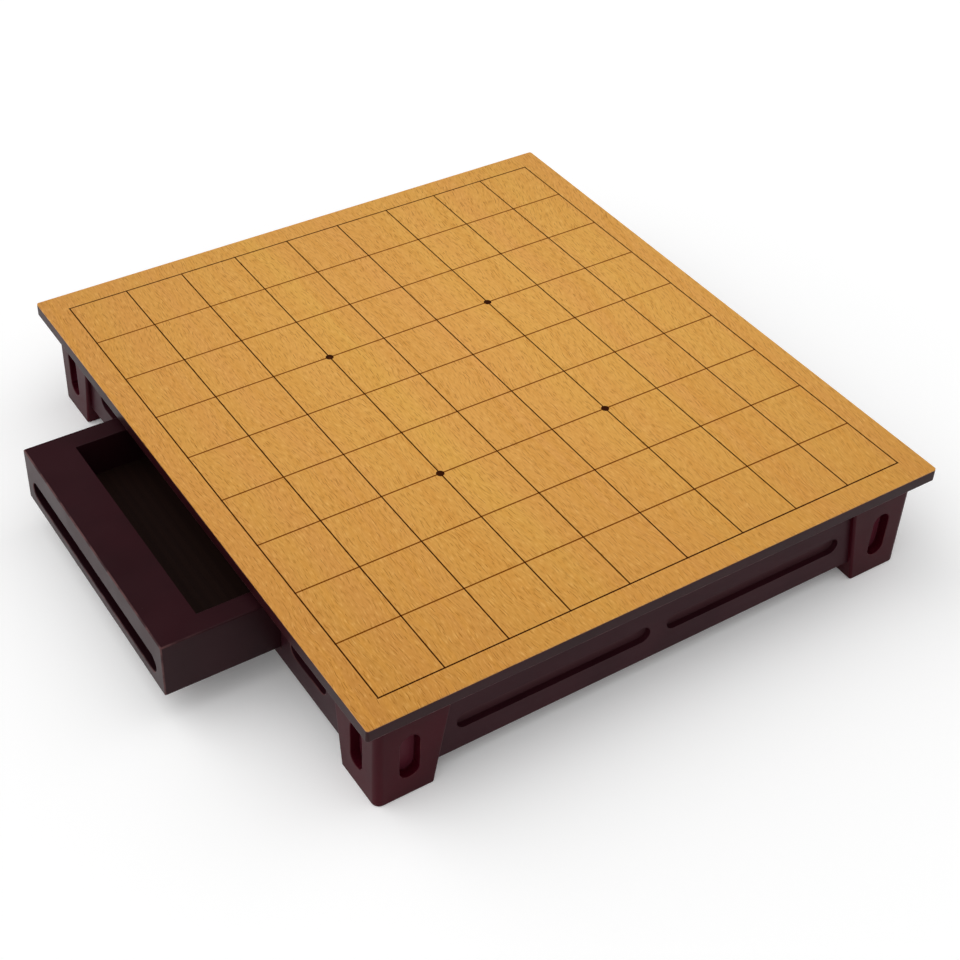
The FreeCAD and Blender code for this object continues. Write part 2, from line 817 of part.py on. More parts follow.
def check(pieces):
    """Stop if any object failed or any piece is empty, broken or in bits."""
    for thing in doc.Objects:
        if "Invalid" in thing.State or "Error" in thing.State:
            raise RuntimeError(f"{thing.Name} failed: {thing.State}")
    for name, piece in pieces.items():
        shape = piece.Shape
        if shape.isNull() or not shape.isValid():
            raise RuntimeError(f"{name} has no sound shape")
        solids = len(piece.Links) if piece.TypeId == "Part::Compound" else 1
        if len(shape.Solids) != solids:
            raise RuntimeError(f"{name} has {len(shape.Solids)} solids, not {solids}")


parts = {**make_frame(), **make_drawer()}
for label, part in parts.items():
    part.Label = label
doc.recompute()
check(parts)

os.makedirs(PARTS_FOLDER, exist_ok=True)
for label, part in parts.items():
    part.Shape.exportStep(f"{PARTS_FOLDER}/{label}.step")
    print(label, len(part.Shape.Solids), round(part.Shape.Volume))
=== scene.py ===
"""Looks of a low shogi board with a drawer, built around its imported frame.

Sizes are metres in the frame's own axes: X runs to the right along the near edge, Y to the far
edge and Z up, with the origin in the middle of the playing face.
"""

import logging
import math
from contextlib import contextmanager
from dataclasses import dataclass, field
from enum import Enum
from functools import cache, partial, reduce
from typing import Callable, Iterator

import bmesh
import bpy
from mathutils import Matrix, Vector


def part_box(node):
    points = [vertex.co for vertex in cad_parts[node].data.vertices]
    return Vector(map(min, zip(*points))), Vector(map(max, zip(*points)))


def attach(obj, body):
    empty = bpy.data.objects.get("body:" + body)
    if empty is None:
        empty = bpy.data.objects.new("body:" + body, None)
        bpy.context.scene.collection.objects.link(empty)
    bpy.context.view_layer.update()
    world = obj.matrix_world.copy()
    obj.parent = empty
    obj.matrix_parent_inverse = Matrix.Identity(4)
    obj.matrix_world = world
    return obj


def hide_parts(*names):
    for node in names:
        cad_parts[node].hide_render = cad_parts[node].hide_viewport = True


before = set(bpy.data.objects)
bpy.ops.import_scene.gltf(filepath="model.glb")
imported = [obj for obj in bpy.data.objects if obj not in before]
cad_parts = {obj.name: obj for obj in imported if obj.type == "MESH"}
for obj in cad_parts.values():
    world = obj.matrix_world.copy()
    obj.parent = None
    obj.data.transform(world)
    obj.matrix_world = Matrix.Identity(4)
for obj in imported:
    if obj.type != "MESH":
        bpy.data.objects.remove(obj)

log = logging.getLogger("shogi_board")

PICTURE_PIXELS = 960
SENSOR_WIDTH_MM = 36.0

# Two places agree when they are closer than this, and two directions when their cosine is above
TOUCH = 0.00002
PARALLEL = 0.999

# Edges that turn by more than the first are softened, and those past the second shade sharp
HARD_ANGLE = math.radians(32)
SHARP_ANGLE = math.radians(40)

# Most of a noise pattern lies between these
NOISE_LOW = 0.3
NOISE_HIGH = 0.7

# Flecks of the veneer in a metre, side by side and end to end
FLECKS_ACROSS = 680.0
FLECKS_ALONG = 150.0

# The most that a fleck leans, and half the length of the shortest and of the longest, in cells
FLECK_LEAN = 0.22
FLECK_SHORT = 0.2
FLECK_LONG = 0.6

# The slope of the veneer's grain in the left half, and at the place where it leans most
LEAST_LEAN = 0.015
MOST_LEAN = 0.2
MOST_LEAN_PLACE = 0.17

# How far the veneer's grain strays to each side, in long and in short waves
WANDER = 0.0035
WAVER = 0.00035

# Mesh attributes: the arrises, worn and given a painted highlight, and the recess floors, given
# painted light and shade
ARRIS = "arris"
RECESS_LIGHT_SHADE = "recess_light_shade"

Color = tuple[float, float, float, float]
EdgeTest = Callable[..., bool]
Material = bpy.types.Material
Node = bpy.types.Node
NodeTree = bpy.types.NodeTree
Outputs = bpy.types.bpy_prop_collection
Piece = bpy.types.Object
Socket = bpy.types.NodeSocket

WHITE: Color = (1.0, 1.0, 1.0, 1.0)
BLACK: Color = (0.0, 0.0, 0.0, 1.0)


class Body(Enum):
    """The rigid bodies of the board."""

    BOARD = "board"
    DRAWER = "drawer"


class Axis(Enum):
    """The frame's axes."""

    X = 0
    Y = 1
    Z = 2

    def across(self) -> "Axis":
        """Give the level axis across a level one."""
        return Axis.Y if self is Axis.X else Axis.X

    def reach(self, distance: float, others: float = 0.0) -> Vector:
        """Make a vector that goes a distance along the axis and another along the others."""
        return Vector([distance if axis is self else others for axis in Axis])


def srgb(red: int, green: int, blue: int) -> Color:
    """Turn a display colour, with values up to 255, into the linear one that shaders use."""
    shares = (red / 255, green / 255, blue / 255)
    return (*(c / 12.92 if c <= 0.04045 else ((c + 0.055) / 1.055) ** 2.4 for c in shares), 1.0)


@dataclass
class Wiring:
    """The nodes and links of one material, shared group or world.

    Attributes:
        tree: Its node tree.
        place: The coordinates that its patterns lie on.
        result: The node that takes what it gives.
    """

    tree: NodeTree
    place: Socket
    result: Node

    def link(self, value: object, socket: Socket) -> None:
        """Link a varying value to an input, or set a plain one on it.

        Args:
            value: The value or socket.
            socket: The input.
        """
        if isinstance(value, Socket):
            self.tree.links.new(value, socket)
        else:
            socket.default_value = value

    def feed(self, values: dict[str, object]) -> None:
        """Give values by name to the node that takes them."""
        for name, value in values.items():
            self.link(value, self.result.inputs[name])

    def node(self, kind: str, inputs: dict | None = None, **settings: object) -> Node:
        """Add a shader node.

        Args:
            kind: The end of the node's type name.
            inputs: Values or sockets for its inputs, by name or number.
            settings: Its other settings.

        Returns:
            The new node.
        """
        node = self.tree.nodes.new(f"ShaderNode{kind}")
        for name, value in settings.items():
            setattr(node, name, value)
        for name, value in (inputs or {}).items():
            self.link(value, node.inputs[name])
        return node

    def math(self, operation: str, *values: object) -> Socket:
        """Add a Math node and give back its result."""
        return self.node("Math", dict(enumerate(values)), operation=operation).outputs[0]

    def times(self, *values: object) -> Socket:
        """Multiply values with each other."""
        return reduce(partial(self.math, "MULTIPLY"), values)

    def plus(self, *values: object) -> Socket:
        """Add values to each other."""
        return reduce(partial(self.math, "ADD"), values)

    def gap(self, first: Socket, second: object) -> Socket:
        """Give how far two values are apart."""
        return self.math("ABSOLUTE", self.math("SUBTRACT", first, second))

    def vectors(self, operation: str, *values: object) -> Outputs:
        """Add a Vector Math node and give back its outputs."""
        return self.node("VectorMath", dict(enumerate(values)), operation=operation).outputs

    def along(self, axis: Axis, vector: Socket | None = None) -> Socket:
        """Give how far a vector, or else the place, lies along an axis."""
        return self.node("SeparateXYZ", {"Vector": vector or self.place}).outputs[axis.value]

    def stretch(self, vector: Socket, x: float = 1.0, y: float = 1.0, z: float = 1.0) -> Socket:
        """Scale coordinates by a different amount along each axis."""
        return self.node("Mapping", {"Vector": vector, "Scale": (x, y, z)}).outputs[0]

    def noise(self, scale: float, detail: float = 2.0, vector: Socket | None = None) -> Socket:
        """Add a noise pattern from 0 to 1, on the place or on other coordinates."""
        inputs = {"Vector": vector or self.place, "Scale": scale, "Detail": detail}
        return self.node("TexNoise", inputs).outputs["Fac"]

    def cells(self, scale: float, vector: Socket, **settings: str) -> Outputs:
        """Add a pattern of scattered cells and give back its outputs."""
        inputs = {"Vector": vector, "Scale": scale, "Randomness": 1.0}
        return self.node("TexVoronoi", inputs, feature="F1", **settings).outputs

    def draws(self, cells: Outputs) -> Outputs:
        """Give three random values from 0 to 1 for each cell of a pattern."""
        return self.node("SeparateColor", {"Color": cells["Color"]}).outputs

    def ramp(
        self, value: Socket, start: float, end: float, low: float = 0.0, high: float = 1.0
    ) -> Socket:
        """Turn a value smoothly from low at start to high at end."""
        inputs = {"Value": value, "From Min": start, "From Max": end, "To Min": low, "To Max": high}
        return self.node("MapRange", inputs, interpolation_type="SMOOTHSTEP").outputs[0]

    def spread(self, noise: Socket, low: float = 0.0, high: float = 1.0) -> Socket:
        """Spread the usual range of a noise pattern smoothly from low to high."""
        return self.ramp(noise, NOISE_LOW, NOISE_HIGH, low, high)

    def blend(self, share: Socket, first: object, second: object) -> Socket:
        """Mix two colours.

        Args:
            share: How much of the second there is, from 0 to 1.
            first: The first, as a linear colour or a socket.
            second: The second.

        Returns:
            The mixed colour.
        """
        node = self.node("Mix", {"Factor": share}, data_type="RGBA")
        sockets = [socket for socket in node.inputs if socket.type == "RGBA"]
        for value, socket in zip((first, second), sockets):
            self.link(value, socket)
        return next(socket for socket in node.outputs if socket.type == "RGBA")

    def bump(self, height: Socket, distance: float) -> Socket:
        """Turn a height from 0 to 1 into a normal, for relief of this depth in metres."""
        return self.node("Bump", {"Height": height, "Distance": distance}).outputs["Normal"]

    def group(self, tree: NodeTree, **inputs: Socket) -> Outputs:
        """Place a shared group on the same coordinates and give back its outputs."""
        return self.node("Group", {"Vector": self.place, **inputs}, node_tree=tree).outputs


def new_group(name: str, *inputs: str) -> Wiring:
    """Start a shared group that takes coordinates.

    Args:
        name: The group's name.
        inputs: The names of the values that it takes besides.

    Returns:
        The group's wiring.
    """
    tree = bpy.data.node_groups.new(name, "ShaderNodeTree")
    tree.interface.new_socket("Vector", in_out="INPUT", socket_type="NodeSocketVector")
    for value in inputs:
        tree.interface.new_socket(value, in_out="INPUT", socket_type="NodeSocketFloat")
    place = tree.nodes.new("NodeGroupInput").outputs["Vector"]
    return Wiring(tree, place, tree.nodes.new("NodeGroupOutput"))


def close_group(wiring: Wiring, **values: Socket) -> NodeTree:
    """Give a shared group an output for each of its values.

    Args:
        wiring: The group's wiring.
        values: The values by the names of the outputs.

    Returns:
        The finished group.
    """
    for name in values:
        wiring.tree.interface.new_socket(name, in_out="OUTPUT", socket_type="NodeSocketFloat")
    wiring.feed(values)
    return wiring.tree


def fleck_mask(wiring: Wiring, place: Socket) -> Socket:
    """Draw one short thin fleck in each cell, of its own length, lean and depth.

    Args:
        wiring: The wiring of the group that it goes into.
        place: Coordinates scaled so that each cell is one unit wide and long.

    Returns:
        A mask from 0 to 1.
    """
    cells = wiring.cells(1.0, place, voronoi_dimensions="2D")
    away = wiring.vectors("SUBTRACT", place, cells["Position"])[0]
    beside, ahead = (wiring.along(axis, away) for axis in (Axis.X, Axis.Y))
    draws = wiring.draws(cells)
    lean = wiring.ramp(draws[0], 0.0, 1.0, -FLECK_LEAN, FLECK_LEAN)
    thin = wiring.ramp(wiring.gap(beside, wiring.times(ahead, lean)), 0.12, 0.02)
    reach = wiring.ramp(draws[1], 0.0, 1.0, FLECK_SHORT, FLECK_LONG)
    ends = wiring.math("DIVIDE", wiring.math("ABSOLUTE", ahead), reach)
    return wiring.times(thin, wiring.ramp(ends, 1.0, 0.35), wiring.ramp(draws[2], 0.1, 1.0))


@cache
def veneer_grain() -> NodeTree:
    """Make the grain of the playing face.

    Short thin flecks lie along Y and lean to the right over the board's right half. Short fibres
    lie with them, and soft bands, some broad and some narrow, run the length of the board.

    Returns:
        A group with outputs Patch, Bands, Fibre, Flecks and Height.
    """
    wiring = new_group("veneer_grain")
    x, y = (wiring.along(axis) for axis in (Axis.X, Axis.Y))
    lean = wiring.ramp(x, 0.0, MOST_LEAN_PLACE, LEAST_LEAN, MOST_LEAN)
    wander = wiring.spread(wiring.noise(8.0), -WANDER, WANDER)
    waver = wiring.spread(wiring.noise(75.0), -WAVER, WAVER)
    across = wiring.plus(wiring.math("SUBTRACT", x, wiring.times(lean, y)), wander, waver)
    leaning = wiring.node("CombineXYZ", {"X": across, "Y": y}).outputs[0]
    straight = wiring.node("CombineXYZ", {"X": wiring.plus(x, wander)}).outputs[0]
    fibre = wiring.noise(1250.0, vector=wiring.stretch(leaning, y=0.17))
    flecks = fleck_mask(wiring, wiring.stretch(leaning, FLECKS_ACROSS, FLECKS_ALONG))
    return close_group(
        wiring,
        Patch=wiring.noise(34.0, 1.0, wiring.stretch(straight, y=0.05)),
        Bands=wiring.noise(190.0, vector=wiring.stretch(leaning, y=0.03)),
        Fibre=fibre,
        Flecks=flecks,
        Height=wiring.plus(wiring.times(flecks, -0.7), wiring.times(fibre, 0.35)),
    )


@cache
def lacquer_film() -> NodeTree:
    """Make the surface of rubbed lacquer over close-grained wood.

    Returns:
        A group with inputs Vector and Arris, and outputs Tone, Worn, Specks, Smear and Height.
    """
    wiring = new_group("lacquer_film", "Arris")
    # Patches along the arrises where the finish is worn and a highlight is painted
    patchy_wearing_and_highlight = wiring.ramp(wiring.noise(110.0, 3.0), 0.4, 0.62, 0.15, 1.0)
    cells = wiring.cells(170.0, wiring.place)
    few = wiring.math("GREATER_THAN", wiring.draws(cells)[0], 0.92)
    pores = wiring.noise(240.0, 3.0, wiring.stretch(wiring.place, z=9.0))
    ripple = wiring.noise(950.0, 1.0)
    return close_group(
        wiring,
        Tone=wiring.noise(24.0, 4.0),
        Worn=wiring.times(wiring.place.node.outputs["Arris"], patchy_wearing_and_highlight),
        Specks=wiring.times(wiring.ramp(cells["Distance"], 0.045, 0.02), few),
        Smear=wiring.noise(60.0, 5.0),
        Height=wiring.plus(wiring.times(pores, 0.7), wiring.times(ripple, 0.3)),
    )


@cache
def plank_grain() -> NodeTree:
    """Make the rings and pores of planed wood that runs along Y.

    Returns:
        A group with outputs Rings, Pores and Height.
    """
    wiring = new_group("plank_grain")
    waves = {
        "Vector": wiring.stretch(wiring.place, y=0.06),
        "Scale": 60.0,
        "Distortion": 5.0,
        "Detail": 2.0,
        "Phase Offset": wiring.noise(30.0, 3.0, wiring.stretch(wiring.place, y=0.12)),
    }
    rings = wiring.node("TexWave", waves).outputs["Fac"]
    pores = wiring.noise(1400.0, 3.0, wiring.stretch(wiring.place, y=0.04))
    height = wiring.plus(wiring.times(rings, 0.4), pores)
    return close_group(wiring, Rings=rings, Pores=pores, Height=height)


def new_material(name: str) -> tuple[Material, Wiring]:
    """Start a material with a surface shader and object coordinates.

    Args:
        name: The material's name.

    Returns:
        The material and its wiring, which feeds the surface shader.
    """
    material = bpy.data.materials.new(name)
    material.use_nodes = True
    nodes = material.node_tree.nodes
    nodes.clear()
    place = nodes.new("ShaderNodeTexCoord").outputs["Object"]
    wiring = Wiring(material.node_tree, place, nodes.new("ShaderNodeBsdfPrincipled"))
    wiring.node("OutputMaterial", {"Surface": wiring.result.outputs[0]})
    return material, wiring


@dataclass(frozen=True)
class FaceVeneer:
    """Golden veneer of the playing face under a thin satin film.

    Attributes:
        yellow: The colour of the yellower streaks.
        amber: The colour between them.
        deep: The darker colour painted away from the brightest place, as shade where the light falls
            off.
        band: The colour of the narrow darker bands.
        pale: The colour of the palest fibres.
        fleck: The colour of the flecks.
        streaks: Where each broad yellow streak runs, as its place along X and half its width.
        middle: The place where the painted light is brightest and the face is palest.
        painted_shade_rate: How fast the painted shade darkens it with the square of the distance from
            there.
        fibre_light: How far the pale fibres go to their colour, as a share.
        fibre_dark: How far the dark fibres go to the flecks' colour.
        fleck_dark: How far the flecks go to their colour.
        relief: The depth of its grain.
        index: How strongly it shines, as a refractive index.
    """

    name: str = "golden_veneer"
    yellow: Color = srgb(226, 173, 80)
    amber: Color = srgb(224, 161, 83)
    # The colour of the painted shade towards the corners, where the light falls off
    deep: Color = srgb(176, 114, 38)
    band: Color = srgb(212, 149, 63)
    pale: Color = srgb(246, 198, 117)
    fleck: Color = srgb(146, 86, 12)
    streaks: tuple[tuple[float, float], ...] = ((-0.043, 0.026), (0.072, 0.02), (0.132, 0.022))
    # Where the painted light is brightest, and how fast the painted shade grows away from there
    middle: tuple[float, float, float] = (0.045, 0.05, 0.0)
    painted_shade_rate: float = 7.0
    fibre_light: float = 0.47
    fibre_dark: float = 0.55
    fleck_dark: float = 0.95
    relief: float = 0.000012
    index: float = 1.33

    def yellow_share(self, wiring: Wiring, patch: Socket) -> Socket:
        """Give how yellow a place is.

        Args:
            wiring: The material's wiring.
            patch: The broad patches of its grain.

        Returns:
            The share of yellow, from 0 to 1.
        """
        total = wiring.spread(patch, -0.1, 0.5)
        for centre, half in self.streaks:
            away = wiring.gap(wiring.along(Axis.X), centre)
            total = wiring.plus(total, wiring.ramp(away, half, 0.0, 0.0, 0.5))
        return wiring.node("Clamp", {"Value": total}).outputs[0]

    def color(self, wiring: Wiring, grain: Outputs) -> Socket:
        """Build the veneer's colour.

        Args:
            wiring: The material's wiring.
            grain: The outputs of its grain group.

        Returns:
            The colour.
        """
        ground = wiring.blend(self.yellow_share(wiring, grain["Patch"]), self.amber, self.yellow)
        # Painted shade: the face darkens with the square of the distance from where the light is
        # brightest
        away = wiring.vectors("DISTANCE", wiring.place, self.middle)["Value"]
        painted_shade_share = wiring.times(wiring.math("POWER", away, 2.0), self.painted_shade_rate)
        with_painted_shade = wiring.blend(painted_shade_share, ground, self.deep)
        banded = wiring.blend(wiring.ramp(grain["Bands"], 0.4, 0.75, 0.0, 0.6), with_painted_shade, self.band)
        light = wiring.ramp(grain["Fibre"], 0.5, 0.85, 0.0, self.fibre_light)
        dark = wiring.ramp(grain["Fibre"], 0.5, 0.15, 0.0, self.fibre_dark)
        dark = wiring.math("MAXIMUM", wiring.times(grain["Flecks"], self.fleck_dark), dark)
        return wiring.blend(dark, wiring.blend(light, banded, self.pale), self.fleck)

    def make(self) -> Material:
        """Build the material.

        Returns:
            The material.
        """
        material, wiring = new_material(self.name)
        grain = wiring.group(veneer_grain())
        surface = {
            "Base Color": self.color(wiring, grain),
            "Roughness": wiring.ramp(grain["Fibre"], 0.2, 0.8, 0.4, 0.48),
            "Normal": wiring.bump(grain["Height"], self.relief),
            "IOR": self.index,
        }
        wiring.feed(surface)
        return material


@dataclass(frozen=True)
class LineInk:
    """Dark ink of the ruled lines and star dots, which leaves the lines' very edges bare.

    Attributes:
        wood: The veneer that shows at the edges.
        full: The colour of the ink where a line runs with the grain.
        thin: Its colour where a line crosses the grain, and where it has worn.
        crossing: How far it goes to that colour across the grain, as a share.
        blotted: How far it goes there where it has worn.
        first: The place of the first lines along X and Y.
        step: From one line to the next along X and Y.
        half_width: Half the width of the ink of the lines at places along X and along Y.
        fade: How softly its edge ends.
        star: The place of a star dot in one quarter of the face.
    """

    name: str = "ruled_ink"
    wood: FaceVeneer = FaceVeneer()
    full: Color = srgb(50, 18, 1)
    thin: Color = srgb(118, 60, 6)
    crossing: float = 0.85
    blotted: float = 0.6
    first: tuple[float, float] = (-0.1485, -0.162)
    step: tuple[float, float] = (0.033, 0.036)
    half_width: tuple[float, float] = (0.00037, 0.0004)
    fade: float = 0.00006
    star: tuple[float, float, float] = (0.0495, 0.054, 0.0)
    star_radius: float = 0.0021
    index: float = 1.12

    def beyond_ink(self, wiring: Wiring, axis: Axis) -> Socket:
        """Tell the ink of the lines that follow each other along an axis from what is beyond it.

        Args:
            wiring: The material's wiring.
            axis: The axis.

        Returns:
            0 in the ink and 1 beyond it.
        """
        first, step, half = (size[axis.value] for size in (self.first, self.step, self.half_width))
        steps = wiring.math("DIVIDE", wiring.math("SUBTRACT", wiring.along(axis), first), step)
        off = wiring.times(wiring.gap(steps, wiring.math("ROUND", steps)), step)
        return wiring.ramp(off, half - self.fade, half + self.fade)

    def beyond_star(self, wiring: Wiring) -> Socket:
        """Give 0 in a star dot and 1 beyond it."""
        away = wiring.vectors("DISTANCE", wiring.vectors("ABSOLUTE", wiring.place)[0], self.star)
        return wiring.ramp(away["Value"], self.star_radius, self.star_radius + self.fade)

    def within_border(self, wiring: Wiring) -> Socket:
        """Give 1 between the two border lines that cross the grain, which are inked fully."""
        border = abs(self.first[Axis.Y.value]) - self.step[Axis.Y.value] / 2
        return wiring.math("LESS_THAN", wiring.math("ABSOLUTE", wiring.along(Axis.Y)), border)

    def make(self) -> Material:
        """Build the material.

        Returns:
            The material.
        """
        material, wiring = new_material(self.name)
        blot = wiring.noise(420.0, 3.0)
        beyond_x, beyond_y = (self.beyond_ink(wiring, axis) for axis in (Axis.X, Axis.Y))
        beyond_star = self.beyond_star(wiring)
        crossing = wiring.times(beyond_x, beyond_star, self.crossing, self.within_border(wiring))
        worn = wiring.math("MAXIMUM", crossing, wiring.ramp(blot, 0.5, 0.8, 0.0, self.blotted))
        ink = wiring.blend(worn, self.full, self.thin)
        bare = wiring.times(beyond_x, beyond_y, beyond_star)
        wood = self.wood.color(wiring, wiring.group(veneer_grain()))
        surface = {
            "Base Color": wiring.blend(bare, ink, wood),
            "Roughness": wiring.spread(blot, 0.45, 0.65),
            "IOR": self.index,
        }
        wiring.feed(surface)
        return material


@dataclass(frozen=True)
class Lacquer:
    """Dark red-black lacquer: deep colour under a satin film, thinner and with a painted highlight
    along the arrises.

    Attributes:
        deep: The darker of its two colours.
        warm: The lighter one.
        index: How strongly it shines, as a refractive index.
        floor: The colour painted on the recesses' floors for light and shade: paler than the face,
        as painted light, in the rails' and legs' recesses, and darker, as painted shade, in the
        drawer's groove.
        wear_and_highlight: How far the arrises go to the worn colour, as a share: partly wearing,
            partly a painted highlight.
        dusty: How far the specks go to the dust's colour.
        smooth: The least roughness of its film.
        rubbed: The most.
    """

    name: str
    deep: Color
    warm: Color
    index: float
    floor: Color = BLACK
    wear_and_highlight: float = 0.4
    # Worn colour of the arrises: partly real wearing, partly a painted highlight on the rounded edges
    worn: Color = srgb(132, 92, 90)
    dust: Color = srgb(96, 76, 74)
    dusty: float = 0.3
    smooth: float = 0.37
    rubbed: float = 0.42
    relief: float = 0.000014

    def make(self) -> Material:
        """Build the material.

        Returns:
            The material.
        """
        material, wiring = new_material(self.name)
        arris, recess_light_shade = (
            wiring.node("Attribute", attribute_name=name).outputs["Fac"] for name in (ARRIS, RECESS_LIGHT_SHADE)
        )
        film = wiring.group(lacquer_film(), Arris=arris)
        color = wiring.blend(wiring.spread(film["Tone"]), self.deep, self.warm)
        # Painted light and shade in the recesses: paler floors in the rails and legs, a darker groove
        # in the drawer
        color = wiring.blend(recess_light_shade, color, self.floor)
        # The arrises go lighter: partly wearing, partly a painted highlight
        color = wiring.blend(wiring.times(film["Worn"], self.wear_and_highlight), color, self.worn)
        surface = {
            "Base Color": wiring.blend(wiring.times(film["Specks"], self.dusty), color, self.dust),
            "Roughness": wiring.spread(film["Smear"], self.smooth, self.rubbed),
            "Normal": wiring.bump(film["Height"], self.relief),
            "IOR": self.index,
        }
        wiring.feed(surface)
        return material


@dataclass(frozen=True)
class PlanedWood:
    """Bare or thinly sealed wood that shows under the board and in the drawer."""

    name: str
    pale: Color
    ring: Color
    index: float = 1.45
    smooth: float = 0.52
    rough: float = 0.68
    relief: float = 0.00005

    def make(self) -> Material:
        """Build the material.

        Returns:
            The material.
        """
        material, wiring = new_material(self.name)
        grain = wiring.group(plank_grain())
        rings = wiring.blend(wiring.ramp(grain["Rings"], 0.2, 0.9, 0.0, 0.7), self.pale, self.ring)
        pored = wiring.ramp(grain["Pores"], 0.62, 0.8, 0.0, 0.5)
        surface = {
            "Base Color": wiring.blend(pored, rings, self.ring),
            "Roughness": wiring.ramp(grain["Pores"], 0.2, 0.8, self.smooth, self.rough),
            "Normal": wiring.bump(grain["Height"], self.relief),
            "IOR": self.index,
        }
        wiring.feed(surface)
        return material


@dataclass(frozen=True)
class ZincSteel:
    """Zinc plated steel of the screws."""

    name: str = "zinc_steel"
    bright: Color = srgb(196, 190, 176)
    dull: Color = srgb(140, 134, 122)

    def make(self) -> Material:
        """Build the material.

        Returns:
            The material.
        """
        material, wiring = new_material(self.name)
        cloud = wiring.noise(700.0, 3.0)
        surface = {
            "Base Color": wiring.blend(wiring.ramp(cloud, 0.35, 0.7), self.bright, self.dull),
            "Roughness": wiring.spread(cloud, 0.25, 0.45),
            "Metallic": 1.0,
        }
        wiring.feed(surface)
        return material


class Finishes:
    """Every finish of the board, each made once."""

    def __init__(self) -> None:
        """Make the finishes."""
        self.veneer = FaceVeneer().make()
        self.ink = LineInk().make()
        # Each lacquer's share of the worn colour paints a highlight along its arrises as well as
        # wearing
        self.panel = Lacquer(
            "panel_lacquer", srgb(37, 7, 12), srgb(46, 11, 18), 1.213, wear_and_highlight=0.8
        ).make()
        # The rails' and legs' recess colours are paler than their faces as painted light; the
        # drawer's is darker as painted shade
        self.rail = Lacquer(
            "rail_lacquer", srgb(49, 19, 26), srgb(56, 23, 30), 1.16, srgb(68, 41, 45)
        ).make()
        self.leg = Lacquer(
            "leg_lacquer", srgb(53, 4, 15), srgb(63, 7, 20), 1.163, srgb(88, 33, 45), wear_and_highlight=0.2
        ).make()
        self.drawer = Lacquer(
            "drawer_lacquer", srgb(38, 13, 18), srgb(45, 16, 22), 1.21, srgb(26, 2, 8), wear_and_highlight=0.35
        ).make()
        self.sheet = PlanedWood("sheet_wood", srgb(30, 16, 12), srgb(26, 13, 10), 1.15).make()
        self.plain = PlanedWood("planed_wood", srgb(206, 178, 138), srgb(176, 140, 96)).make()
        self.dowel = PlanedWood("turned_wood", srgb(216, 190, 150), srgb(190, 156, 112)).make()
        self.screw = ZincSteel().make()


def deselect_all() -> None:
    """Clear the selection."""
    bpy.ops.object.select_all(action="DESELECT")


def activate(piece: Piece) -> None:
    """Select one object alone and make it active.

    Args:
        piece: The object.
    """
    deselect_all()
    piece.select_set(True)
    bpy.context.view_layer.objects.active = piece


@contextmanager
def editing(piece: Piece) -> Iterator[bmesh.types.BMesh]:
    """Edit a piece's mesh with nothing selected at first.

    Args:
        piece: The piece.

    Yields:
        Its mesh in edit mode.
    """
    activate(piece)
    bpy.ops.object.mode_set(mode="EDIT")
    bpy.ops.mesh.select_all(action="DESELECT")
    bpy.ops.mesh.select_mode(type="EDGE")
    yield bmesh.from_edit_mesh(piece.data)
    bpy.ops.object.mode_set(mode="OBJECT")


def space(node: str) -> tuple[Vector, Vector]:
    """Give the lowest and highest corners of one of the frame's nodes."""
    low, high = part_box(node)
    return Vector(low), Vector(high)


def settle(name: str) -> Piece:
    """Name the primitive that was just added and put its place into its mesh.

    Args:
        name: The object's name.

    Returns:
        The object.
    """
    bpy.ops.object.transform_apply(location=True, rotation=True, scale=True)
    piece = bpy.context.active_object
    piece.name = piece.data.name = name
    return piece


def add_block(name: str, low: Vector, high: Vector) -> Piece:
    """Add a block between two corners.

    Args:
        name: The block's name.
        low: Its lowest corner.
        high: Its highest corner.

    Returns:
        The block.
    """
    deselect_all()
    bpy.ops.mesh.primitive_cube_add(size=1.0, location=(low + high) / 2, scale=high - low)
    return settle(name)


def move_corners(piece: Piece, shift: Vector, test: Callable[[Vector], bool]) -> None:
    """Move some of a piece's corners.

    Args:
        piece: The piece.
        shift: How far they move.
        test: Tells from a corner's place whether it moves.
    """
    with editing(piece) as mesh:
        bpy.ops.mesh.select_mode(type="VERT")
        for corner in mesh.verts:
            corner.select = test(corner.co)
        mesh.select_flush_mode()
        bpy.ops.transform.translate(value=shift)


def marks(mesh: bmesh.types.BMesh, name: str) -> bmesh.types.BMLayerItem:
    """Give a number attribute of a mesh's corners, made where it is missing."""
    return mesh.verts.layers.float.get(name) or mesh.verts.layers.float.new(name)


def mark_arris(piece: Piece, width: float) -> None:
    """Mark the middle of the roundings that are selected, where the finish is worn first and a
    highlight is painted.

    Args:
        piece: The piece, in edit mode.
        width: The width of the roundings, which tells their narrow flats from broad faces.
    """
    mesh = bmesh.from_edit_mesh(piece.data)
    layer = marks(mesh, ARRIS)
    for corner in mesh.verts:
        faces = corner.link_faces
        narrow = all(face.calc_area() < width * face.calc_perimeter() for face in faces)
        if faces and narrow and all(face.select for face in faces):
            corner[layer] = 1.0
    bmesh.update_edit_mesh(piece.data)


def round_edges(
    piece: Piece, radius: float, segments: int, test: EdgeTest, worn_and_highlit: bool = True
) -> None:
    """Round the edges whose two ends pass a test.

    Args:
        piece: The piece.
        radius: The radius of the rounding.
        segments: The number of flats across it.
        test: Tells from an edge's two ends whether it is rounded.
        worn_and_highlit: Whether the finish is worn along it and a highlight is painted there.
    """
    with editing(piece) as mesh:
        for edge in mesh.edges:
            edge.select = test(*(corner.co for corner in edge.verts))
        bmesh.update_edit_mesh(piece.data)
        bpy.ops.mesh.bevel(offset=radius, segments=segments, affect="EDGES")
        if worn_and_highlit:
            mark_arris(piece, radius)
        bpy.ops.mesh.select_all(action="SELECT")
        bpy.ops.mesh.remove_doubles(threshold=TOUCH / 4)


